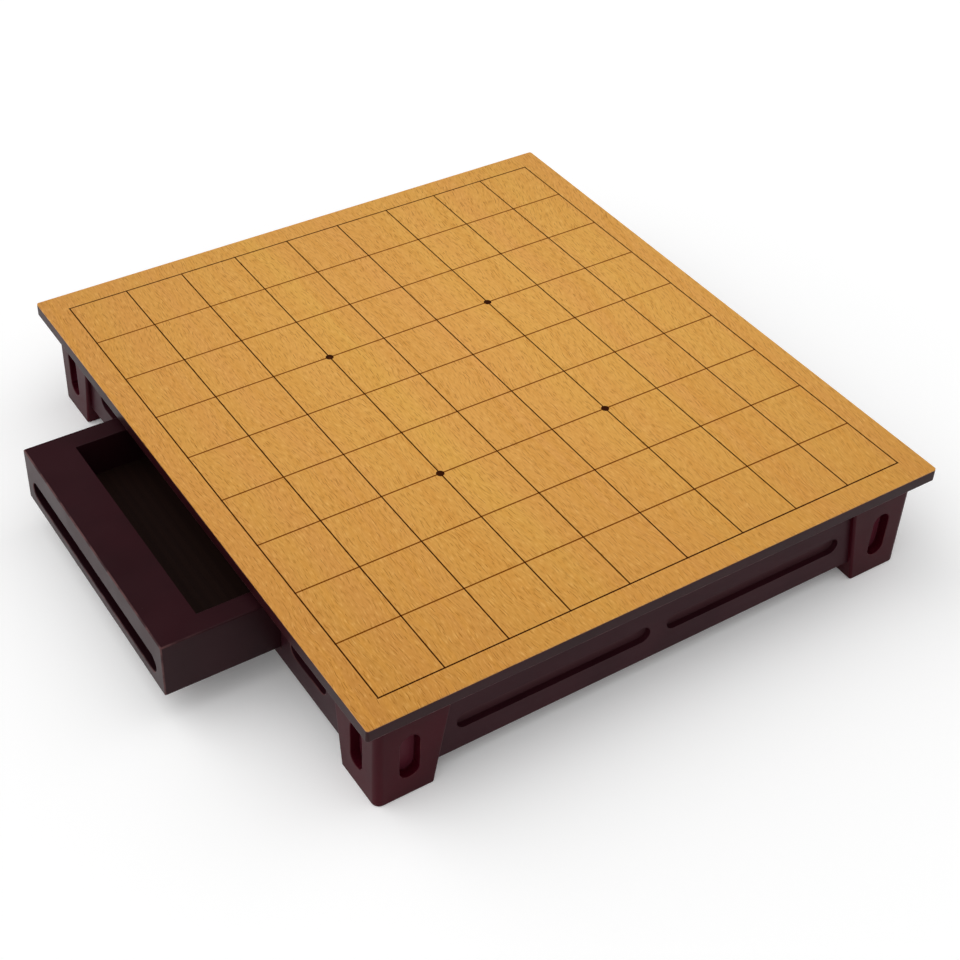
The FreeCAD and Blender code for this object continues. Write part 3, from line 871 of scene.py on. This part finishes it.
def soften_sharp_edges(piece: Piece, width: float, keep: EdgeTest) -> None:
    """Take the sharpness off every hard edge but those that a test keeps.

    Args:
        piece: The piece.
        width: The width of the softening.
        keep: Tells from an edge's two ends whether it stays hard.
    """
    with editing(piece) as mesh:
        for edge in mesh.edges:
            hard = edge.is_manifold and edge.calc_face_angle() > HARD_ANGLE
            edge.select = hard and not keep(*(corner.co for corner in edge.verts))
        bmesh.update_edit_mesh(piece.data)
        bpy.ops.mesh.bevel(offset=width, segments=3, affect="EDGES", clamp_overlap=True)
        mark_arris(piece, width)


def carve(piece: Piece, cutter: Piece) -> None:
    """Take a cutter's shape out of a piece and remove the cutter.

    Args:
        piece: The piece.
        cutter: The cutter.
    """
    activate(piece)
    cut = piece.modifiers.new("cut", "BOOLEAN")
    cut.operation = "DIFFERENCE"
    cut.solver = "EXACT"
    cut.object = cutter
    bpy.ops.object.modifier_apply(modifier=cut.name)
    bpy.data.objects.remove(cutter)


def duplicate(piece: Piece, name: str) -> Piece:
    """Copy a piece.

    Args:
        piece: The piece to copy.
        name: The copy's name.

    Returns:
        The copy, with a mesh of its own.
    """
    copy = piece.copy()
    copy.data = piece.data.copy()
    copy.name = copy.data.name = name
    bpy.context.scene.collection.objects.link(copy)
    return copy


def mirrored(piece: Piece, name: str, axis: Axis) -> Piece:
    """Copy a piece across the board's middle.

    Args:
        piece: The piece to copy.
        name: The copy's name.
        axis: The axis that is turned over.

    Returns:
        The copy, with its faces outwards.
    """
    copy = duplicate(piece, name)
    with editing(copy):
        bpy.ops.mesh.select_all(action="SELECT")
        bpy.ops.transform.resize(value=axis.reach(-1.0, 1.0), center_override=(0.0, 0.0, 0.0))
        bpy.ops.mesh.normals_make_consistent(inside=False)
    return copy


def dress(piece: Piece, material: Material, body: Body, node: str) -> None:
    """Shade a new piece, with its flats kept flat, and give it its finish and its place.

    Args:
        piece: The finished mesh.
        material: Its finish.
        body: The body that it moves with.
        node: The frame's node that it stands for.
    """
    activate(piece)
    bpy.ops.object.shade_smooth_by_angle(angle=SHARP_ANGLE)
    weigh = piece.modifiers.new("flats", "WEIGHTED_NORMAL")
    weigh.keep_sharp = True
    weigh.weight = 100
    bpy.ops.object.modifier_apply(modifier=weigh.name)
    piece.data.materials.clear()
    piece.data.materials.append(material)
    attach(piece, body.value)
    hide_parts(node)
    log.info("%s: %d faces for %s", piece.name, len(piece.data.polygons), node)


def refinish(material: Material, *nodes: str) -> None:
    """Give some of the frame's nodes their finish.

    Args:
        material: The finish.
        nodes: The nodes' names.
    """
    for node in nodes:
        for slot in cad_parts[node].material_slots:
            slot.material = material
        log.info("%s: finished in %s", node, material.name)


def in_plane(axis: Axis, place: float) -> EdgeTest:
    """Make a test for edges, or corners, that lie in a plane square to an axis."""
    return lambda *ends: all(abs(end[axis.value] - place) < TOUCH for end in ends)


def parallel(axis: Axis) -> EdgeTest:
    """Make a test for edges that run along an axis."""
    return lambda first, second: abs((second - first).normalized()[axis.value]) > PARALLEL


def all_of(*tests: EdgeTest) -> EdgeTest:
    """Make a test that passes where all of some tests do."""
    return lambda *ends: all(test(*ends) for test in tests)


@dataclass(frozen=True)
class Router:
    """How the router cuts one kind of recess.

    Attributes:
        radius: Half a recess's width, and the radius of its ends.
        depth: Its depth.
        corner: The radius where its wall meets its floor.
        rim: The softening of its rim.
    """

    radius: float
    depth: float
    corner: float = 0.0004
    rim: float = 0.0004


@dataclass(frozen=True)
class Recess:
    """A recess, cut with a router, with round ends.

    Attributes:
        router: How it is cut.
        centre: The middle of its mouth.
        length: Its whole length.
        along: The axis that it runs along.
        into: The axis that it is cut along.
        inward: Which way it is cut along that axis, 1 or -1.
    """

    router: Router
    centre: Vector
    length: float
    along: Axis
    into: Axis
    inward: int = 1

    def half_size(self) -> Vector:
        """Give half the size of its space, which reaches as far out past its mouth as in."""
        half = self.along.reach(self.length / 2, self.router.radius)
        return half + self.into.reach(self.router.depth - self.router.radius)

    def cutter(self) -> Piece:
        """Model its space.

        Returns:
            The space.
        """
        half = self.half_size()
        floor = self.centre[self.into.value] + self.router.depth * self.inward
        block = add_block("recess_cutter", self.centre - half, self.centre + half)
        round_edges(block, self.router.radius, 20, parallel(self.into), worn_and_highlit=False)
        round_edges(block, self.router.corner, 5, in_plane(self.into, floor), worn_and_highlit=False)
        return block

    def mark(self, piece: Piece, attribute: str, value: float, start: float) -> None:
        """Set an attribute on what lies deeper in the recess than a start.

        Args:
            piece: The piece that it is cut into.
            attribute: The name of the mesh attribute.
            value: The value that it gets there.
            start: The depth from which it is set.
        """
        half = self.half_size()
        with editing(piece) as mesh:
            layer = marks(mesh, attribute)
            for corner in mesh.verts:
                away = corner.co - self.centre
                inside = all(abs(reach) < limit + TOUCH for reach, limit in zip(away, half))
                if inside and away[self.into.value] * self.inward > start - TOUCH:
                    corner[layer] = value
            bmesh.update_edit_mesh(piece.data)

    def cut(self, piece: Piece) -> None:
        """Cut it into a piece and mark its floor for the recess's painted light and shade."""
        carve(piece, self.cutter())
        self.mark(piece, RECESS_LIGHT_SHADE, 1.0, self.router.depth)


@dataclass
class Part:
    """A sub-assembly of the board, dressed in the board's finishes."""

    finishes: Finishes


@dataclass
class PlayingFace(Part):
    """The veneer and its ruled lines."""

    def build(self) -> None:
        """Finish the face and its lines."""
        refinish(self.finishes.veneer, "playing_veneer")
        refinish(self.finishes.ink, "grid_lines")


@dataclass
class TopPanel(Part):
    """The lacquered panel under the playing face.

    Attributes:
        corner_radius: The radius of its corners in plan.
        foot_arris: The rounding of its lower edge.
        top_arris: The rounding of its upper edge.
    """

    corner_radius: float = 0.0014
    foot_arris: float = 0.0006
    top_arris: float = 0.00025

    def build(self) -> None:
        """Model the panel."""
        low, high = space("top_panel")
        panel = add_block("lacquered_panel", low, high)
        round_edges(panel, self.corner_radius, 8, parallel(Axis.Z), worn_and_highlit=False)
        round_edges(panel, self.foot_arris, 4, in_plane(Axis.Z, low.z))
        round_edges(panel, self.top_arris, 2, in_plane(Axis.Z, high.z))
        dress(panel, self.finishes.panel, Body.BOARD, "top_panel")


@dataclass
class Legs(Part):
    """The four block legs, modelled at the front left and mirrored.

    Attributes:
        foot_width: The width of a leg at its foot.
        corner_radius: The rounding of the outer corner.
        arris: The rounding of the other upright edges.
        foot_arris: The rounding round the foot.
        recess_inset: From the outer corner to the middle of a recess.
        recess_foot: From the foot to the recess.
        recess_top: From the leg's top to the recess.
        router: How the recesses are cut.
    """

    foot_width: float = 0.0303
    corner_radius: float = 0.004
    arris: float = 0.0014
    foot_arris: float = 0.0008
    recess_inset: float = 0.0171
    recess_foot: float = 0.0116
    recess_top: float = 0.0158
    router: Router = Router(radius=0.0051, depth=0.0052)

    def block(self, low: Vector, high: Vector) -> Piece:
        """Model the tapered block with its rounded edges.

        Args:
            low: The lowest corner of its space.
            high: The highest corner.

        Returns:
            The block.
        """

        def inner_upright(first: Vector, second: Vector) -> bool:
            """Tell whether an edge is upright and away from the outer corner."""
            upright = abs(first.z - second.z) > self.recess_top
            return upright and max(first.x - low.x, first.y - low.y) > self.foot_width / 2

        leg = add_block("front_left_leg", low, high)
        taper = (high.x - low.x) - self.foot_width
        at_foot = in_plane(Axis.Z, low.z)
        for axis in (Axis.X, Axis.Y):
            inner_foot = all_of(in_plane(axis, high[axis.value]), at_foot)
            move_corners(leg, axis.reach(-taper), inner_foot)
        outer = all_of(in_plane(Axis.X, low.x), in_plane(Axis.Y, low.y))
        round_edges(leg, self.corner_radius, 10, outer, worn_and_highlit=False)
        round_edges(leg, self.arris, 6, inner_upright)
        round_edges(leg, self.foot_arris, 4, at_foot)
        return leg

    def recesses(self, low: Vector, high: Vector) -> list[Recess]:
        """Give the recesses of the two outer faces.

        Args:
            low: The lowest corner of the leg's space.
            high: The highest corner.

        Returns:
            The recesses.
        """
        length = high.z - self.recess_top - low.z - self.recess_foot
        height = low.z + self.recess_foot + length / 2
        centres = {
            Axis.Y: Vector((low.x + self.recess_inset, low.y, height)),
            Axis.X: Vector((low.x, low.y + self.recess_inset, height)),
        }
        return [Recess(self.router, centre, length, Axis.Z, into) for into, centre in centres.items()]

    def build(self) -> None:
        """Model the legs."""
        low, high = space("leg_front_left")
        first = self.block(low, high)
        recesses = self.recesses(low, high)
        for recess in recesses:
            recess.cut(first)
        soften_sharp_edges(first, self.router.rim, in_plane(Axis.Z, high.z))
        for recess in recesses:
            recess.mark(first, ARRIS, 0.0, self.router.rim)
        right = mirrored(first, "front_right_leg", Axis.X)
        legs = {
            "leg_front_left": first,
            "leg_front_right": right,
            "leg_back_left": mirrored(first, "back_left_leg", Axis.Y),
            "leg_back_right": mirrored(right, "back_right_leg", Axis.Y),
        }
        for node, leg in legs.items():
            dress(leg, self.finishes.leg, Body.BOARD, node)


@dataclass
class Rails(Part):
    """The rails between the legs.

    Attributes:
        end_taper: How much longer a rail is at its foot, at each end.
        arris: The rounding of its lower edges.
        recess_lift: From the rail's foot to the middle of a recess.
        recess_end_gap: From the leg to a long recess.
        recess_middle_gap: Between two long recesses.
        short_length: The length of a short recess.
        short_gap: From the drawer's window to a short recess.
        window_top: The strip above the drawer's window.
        window_foot: The strip below it.
        drawer_gap: The gap beside the drawer.
        router: How the recesses are cut.
    """

    end_taper: float = 0.00696
    arris: float = 0.0006
    recess_lift: float = 0.0178
    recess_end_gap: float = 0.0078
    recess_middle_gap: float = 0.0098
    short_length: float = 0.0327
    short_gap: float = 0.0093
    window_top: float = 0.0047
    window_foot: float = 0.0071
    drawer_gap: float = 0.0007
    router: Router = Router(radius=0.0048, depth=0.0033)

    def board(self, name: str, low: Vector, high: Vector, along: Axis) -> Piece:
        """Model a plain rail whose ends slant with the legs.

        Args:
            name: The rail's name.
            low: The lowest corner of its space.
            high: The highest corner.
            along: The axis that it runs along.

        Returns:
            The rail.
        """
        rail = add_block(name, low, high)
        for end, shift in ((low, self.end_taper), (high, -self.end_taper)):
            end_top = all_of(in_plane(along, end[along.value]), in_plane(Axis.Z, high.z))
            move_corners(rail, along.reach(shift), end_top)
        round_edges(rail, self.arris, 4, all_of(parallel(along), in_plane(Axis.Z, low.z)))
        return rail

    def finish(self, rail: Piece, along: Axis, high: Vector, node: str) -> None:
        """Soften a rail's edges but those that meet the legs and the panel, and dress it.

        Args:
            rail: The rail.
            along: The axis that it runs along.
            high: The highest corner of its space.
            node: The frame's node that it stands for.
        """
        meets_panel = in_plane(Axis.Z, high.z)
        reach = high[along.value] - self.end_taper - self.recess_end_gap / 2

        def meets(*ends: Vector) -> bool:
            """Tell whether an edge is on a slanted end or at the top."""
            return meets_panel(*ends) or min(abs(end[along.value]) for end in ends) > reach

        soften_sharp_edges(rail, self.router.rim, meets)
        dress(rail, self.finishes.rail, Body.BOARD, node)

    def long_rail(self, name: str, node: str, along: Axis, inward: int) -> None:
        """Model a rail with two long recesses.

        Args:
            name: The rail's name.
            node: The frame's node that it stands for.
            along: The axis that it runs along.
            inward: Which way its inner face lies, 1 or -1.
        """
        low, high = space(node)
        rail = self.board(name, low, high, along)
        slant = self.end_taper * self.recess_lift / (high.z - low.z)
        outer = high[along.value] - slant - self.recess_end_gap
        inner = self.recess_middle_gap / 2
        across = along.across()
        face = across.reach((low if inward > 0 else high)[across.value])
        face.z = low.z + self.recess_lift
        for side in (-1, 1):
            centre = face + along.reach((inner + outer) / 2 * side)
            Recess(self.router, centre, outer - inner, along, across, inward).cut(rail)
        self.finish(rail, along, high, node)

    def window_rail(self) -> None:
        """Model the rail with the drawer's window and a short recess each side of it."""
        low, high = space("left_rail")
        drawer_low, drawer_high = space("drawer_front")
        rail = self.board("window_rail", low, high, Axis.Y)
        through = high.x - low.x
        opening_low = Vector(
            (low.x - through, drawer_low.y - self.drawer_gap, low.z + self.window_foot)
        )
        opening_high = Vector(
            (high.x + through, drawer_high.y + self.drawer_gap, high.z - self.window_top)
        )
        carve(rail, add_block("window_cutter", opening_low, opening_high))
        reach = opening_high.y + self.short_gap + self.short_length / 2
        for side in (-1, 1):
            centre = Vector((low.x, reach * side, low.z + self.recess_lift))
            Recess(self.router, centre, self.short_length, Axis.Y, Axis.X).cut(rail)
        self.finish(rail, Axis.Y, high, "left_rail")

    def build(self) -> None:
        """Model the rails."""
        self.long_rail("near_rail", "front_rail", Axis.X, 1)
        self.long_rail("far_rail", "back_rail", Axis.X, -1)
        self.long_rail("plain_side_rail", "right_rail", Axis.Y, -1)
        self.window_rail()


@dataclass
class Drawer(Part):
    """The drawer: its thick front block, its walls, back and bottom.

    Attributes:
        arris: The rounding of its outer edges.
        inner_arris: The rounding of the edges round its inside.
        grip_end_gap: From the drawer's side to the finger groove.
        grip_lift: From the drawer's foot to the groove.
        router: How the groove is cut.
    """

    arris: float = 0.0008
    inner_arris: float = 0.0005
    grip_end_gap: float = 0.0075
    grip_lift: float = 0.006
    router: Router = Router(radius=0.0054, depth=0.006, corner=0.0006, rim=0.0005)

    def dress(self, piece: Piece, node: str, slot: str = "lacquer_drawer") -> None:
        """Dress a piece of the drawer in its lacquer."""
        dress(piece, self.finishes.drawer, Body.DRAWER, node)

    def front(self) -> None:
        """Model the front block with its finger groove."""
        low, high = space("drawer_front")
        block = add_block("drawer_block", low, high)
        joint = in_plane(Axis.X, high.x)
        round_edges(block, self.arris, 5, lambda *ends: not joint(*ends))
        centre = Vector((low.x, 0.0, low.z + self.grip_lift + self.router.radius))
        length = high.y - low.y - self.grip_end_gap * 2
        groove = Recess(self.router, centre, length, Axis.Y, Axis.X)
        carve(block, groove.cutter())
        soften_sharp_edges(block, self.router.rim, joint)
        # Painted shade over the groove's walls and floor
        groove.mark(block, RECESS_LIGHT_SHADE, 1.0, self.router.rim)
        groove.mark(block, ARRIS, 0.0, self.router.rim)
        self.dress(block, "drawer_front")

    def walls(self) -> None:
        """Model the side walls, rounded along their length only."""
        low, high = space("drawer_side_front")
        wall = add_block("near_drawer_wall", low, high)
        outer = all_of(parallel(Axis.X), in_plane(Axis.Y, low.y))
        inner_top = all_of(parallel(Axis.X), in_plane(Axis.Y, high.y), in_plane(Axis.Z, high.z))
        round_edges(wall, self.arris, 5, outer)
        round_edges(wall, self.inner_arris, 4, inner_top)
        far_wall = mirrored(wall, "far_drawer_wall", Axis.Y)
        self.dress(wall, "drawer_side_front")
        self.dress(far_wall, "drawer_side_back")

    def back(self) -> None:
        """Model the back board, which stands a little above the walls."""
        low, high = space("drawer_back")
        board = add_block("drawer_back_board", low, high)
        round_edges(board, self.inner_arris, 3, in_plane(Axis.Z, high.z))
        self.dress(board, "drawer_back", "drawer_back_board")

    def build(self) -> None:
        """Model the drawer."""
        self.front()
        self.walls()
        self.back()
        refinish(self.finishes.sheet, "drawer_bottom")
        refinish(self.finishes.dowel, "drawer_dowels")


@dataclass
class Underframe(Part):
    """The plain wood under the panel, with its screws.

    Attributes:
        head_radius: The radius of a screw's head.
        head_height: The height of a screw's head.
        head_rounding: The rounding of a screw's head.
        shank_radius: The radius of a screw's shank.
        slot_length: The length of the cross slot's arms.
        slot_width: Their width.
        slot_depth: Their depth.
    """

    head_radius: float = 0.003
    head_height: float = 0.002
    head_rounding: float = 0.0011
    shank_radius: float = 0.0015
    slot_length: float = 0.0034
    slot_width: float = 0.0007
    slot_depth: float = 0.001

    def screw(self, name: str, foot: Vector, top: float) -> Piece:
        """Model one screw.

        Args:
            name: The screw's name.
            foot: The middle of its head's lower face.
            top: The height of its tip.

        Returns:
            The screw.
        """
        deselect_all()
        middle = foot + Axis.Z.reach(self.head_height / 2)
        bpy.ops.mesh.primitive_cylinder_add(
            vertices=32, radius=self.head_radius, depth=self.head_height, location=middle
        )
        screw = settle(name)
        round_edges(screw, self.head_rounding, 5, in_plane(Axis.Z, foot.z))
        for arm in ((self.slot_length, self.slot_width), (self.slot_width, self.slot_length)):
            half = Vector((arm[0] / 2, arm[1] / 2, self.slot_depth))
            carve(screw, add_block("slot_cutter", foot - half, foot + half))
        head_top = foot.z + self.head_height
        with editing(screw) as mesh:
            bpy.ops.mesh.select_mode(type="FACE")
            for face in mesh.faces:
                level = face.normal.z > PARALLEL
                face.select = level and face.calc_center_median().z > head_top - TOUCH
            mesh.select_flush_mode()
            bpy.ops.mesh.inset(thickness=self.head_radius - self.shank_radius, depth=0.0)
            length = Axis.Z.reach(top - head_top)
            bpy.ops.mesh.extrude_region_move(TRANSFORM_OT_translate={"value": length})
        return screw

    def screws(self) -> None:
        """Model the first screw where the frame has it and copy it to the others' places."""
        low, high = space("panel_screws")
        xs = [corner.co.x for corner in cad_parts["panel_screws"].data.vertices]
        inner = min(x for x in xs if x > 0.0) + self.head_radius
        rows = (-inner, inner, self.head_radius - high.x, high.x - self.head_radius)
        ends = (low.y + self.head_radius, high.y - self.head_radius)
        start, *others = [Vector((x, y, low.z)) for x in rows for y in ends]
        screws = [self.screw("panel_screw_1", start, high.z)]
        for number, place in enumerate(others, start=2):
            screws.append(duplicate(screws[0], f"panel_screw_{number}"))
            screws[-1].data.transform(Matrix.Translation(place - start))
        for screw in screws:
            dress(screw, self.finishes.screw, Body.BOARD, "panel_screws")

    def build(self) -> None:
        """Finish the plain wood and model the screws."""
        refinish(self.finishes.plain, "centre_batten", "runner_front", "runner_back")
        for end in ("front", "back"):
            refinish(self.finishes.plain, f"cleat_{end}_left", f"cleat_{end}_right")
        refinish(self.finishes.dowel, "frame_dowels")
        self.screws()


@dataclass
class Studio:
    """A pale floor, soft light and the camera.

    Attributes:
        eye: Where the camera stands.
        azimuth: Its heading, in degrees from +Y towards +X.
        elevation: How far it looks down, in degrees.
        roll: Its turn about its own axis, in degrees.
        focal_pixels: Its focal length in picture pixels.
        axis_pixel: The pixel that its axis meets.
        sky_low: The strength of the light at the foot of the sky.
        sky_middle: Its strength part of the way up.
        sky_top: Its strength overhead.
        low_end: Where the middle strength is reached, as the sine of its height.
        top_start: Where the overhead strength is reached, as the sine of its height.
        bright_side: The azimuth and elevation that the light leans towards, in degrees.
        lean: How much brighter that side is than the middle, as a share.
        dark_side: The azimuth and elevation of the dim patch opposite the camera, in degrees.
        dark_core: How wide the patch is fully dim, in degrees from its middle.
        dark_reach: Where it ends, in degrees from its middle.
        dark_share: How much light it takes away, as a share.
        floor_size: The width of the floor.
        floor_color: The floor's own colour.
        floor_lift: How much paler the floor looks to the camera, so that it ends up white.
    """

    eye: Vector = field(default_factory=lambda: Vector((-0.40055, -0.58216, 0.54652)))
    azimuth: float = 34.218
    elevation: float = 38.976
    roll: float = -2.335
    focal_pixels: float = 1735.56
    axis_pixel: tuple[float, float] = (456.38, 420.11)
    sky_low: float = 1.0
    sky_middle: float = 0.55
    sky_top: float = 1.22
    low_end: float = 0.35
    top_start: float = 0.8
    bright_side: tuple[float, float] = (346.0, 20.0)
    lean: float = 0.82
    dark_side: tuple[float, float] = (34.0, 40.0)
    dark_core: float = 10.0
    dark_reach: float = 44.0
    dark_share: float = 0.97
    floor_size: float = 30.0
    floor_color: Color = (0.98, 0.98, 0.98, 1.0)
    floor_lift: float = 0.09

    def towards(self, azimuth: float, elevation: float) -> Vector:
        """Turn an azimuth and elevation into a direction.

        Args:
            azimuth: The azimuth, in degrees from +Y towards +X.
            elevation: The elevation, in degrees.

        Returns:
            The direction, one long.
        """
        turn, rise = math.radians(azimuth), math.radians(elevation)
        level = math.cos(rise)
        return Vector((math.sin(turn) * level, math.cos(turn) * level, math.sin(rise)))

    def camera(self) -> None:
        """Set the camera to the photograph's view."""
        data = bpy.data.cameras.new("view")
        data.sensor_width = SENSOR_WIDTH_MM
        data.lens = self.focal_pixels / PICTURE_PIXELS * SENSOR_WIDTH_MM
        middle = PICTURE_PIXELS / 2
        data.shift_x = (middle - self.axis_pixel[0]) / PICTURE_PIXELS
        data.shift_y = (self.axis_pixel[1] - middle) / PICTURE_PIXELS
        camera = bpy.data.objects.new("view", data)
        bpy.context.scene.collection.objects.link(camera)
        roll = math.radians(self.roll)
        forward = self.towards(self.azimuth, -self.elevation)
        level_right = forward.cross(Axis.Z.reach(1.0)).normalized()
        level_up = level_right.cross(forward)
        right = level_right * math.cos(roll) - level_up * math.sin(roll)
        up = level_right * math.sin(roll) + level_up * math.cos(roll)
        turn = Matrix((right, up, -forward)).transposed()
        camera.matrix_world = Matrix.Translation(self.eye) @ turn.to_4x4()
        bpy.context.scene.camera = camera

    def floor(self) -> None:
        """Lay the pale floor that the board stands on."""
        deselect_all()
        foot = Axis.Z.reach(space("leg_front_left")[0].z)
        bpy.ops.mesh.primitive_plane_add(size=self.floor_size, location=foot)
        floor = settle("floor")
        material, wiring = new_material("pale_floor")
        ray = wiring.node("LightPath").outputs
        seen = wiring.math("MAXIMUM", ray["Is Camera Ray"], ray["Is Glossy Ray"])
        seen = wiring.math("MAXIMUM", seen, ray["Is Transmission Ray"])
        surface = {
            "Base Color": self.floor_color,
            "Roughness": 0.9,
            "Specular IOR Level": 0.0,
            "Emission Color": WHITE,
            "Emission Strength": wiring.times(seen, self.floor_lift),
        }
        wiring.feed(surface)
        floor.data.materials.append(material)

    def light(self) -> None:
        """Light the board softly from all round, least from opposite the camera."""
        world = bpy.data.worlds.new("studio")
        world.use_nodes = True
        nodes = world.node_tree.nodes
        heading = nodes.new("ShaderNodeTexCoord").outputs["Generated"]
        wiring = Wiring(world.node_tree, heading, nodes["Background"])
        height = wiring.along(Axis.Z)
        low = wiring.ramp(height, 0.0, self.low_end, self.sky_low, self.sky_middle)
        lift = self.sky_top - self.sky_middle
        rise = wiring.ramp(height, self.low_end, self.top_start, 0.0, lift)
        bright, dark = (
            wiring.vectors("DOT_PRODUCT", heading, self.towards(*side))["Value"]
            for side in (self.bright_side, self.dark_side)
        )
        leaned = wiring.math("MULTIPLY_ADD", bright, self.lean, 1.0)
        core, reach = (math.cos(math.radians(angle)) for angle in (self.dark_core, self.dark_reach))
        dimmed = wiring.ramp(dark, reach, core, 1.0, 1.0 - self.dark_share)
        strength = wiring.times(wiring.plus(low, rise), leaned, dimmed)
        wiring.feed({"Color": WHITE, "Strength": strength})
        bpy.context.scene.world = world

    def build(self) -> None:
        """Set up the floor, the light and the camera."""
        self.floor()
        self.light()
        self.camera()
        bpy.context.scene.view_settings.view_transform = "Standard"


def main() -> None:
    """Build the board's looks in order."""
    logging.basicConfig(level=logging.INFO, format="%(message)s")
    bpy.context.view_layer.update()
    finishes = Finishes()
    for part in (PlayingFace, TopPanel, Legs, Rails, Drawer, Underframe):
        part(finishes).build()
    Studio().build()


if __name__ == "__main__":
    main()
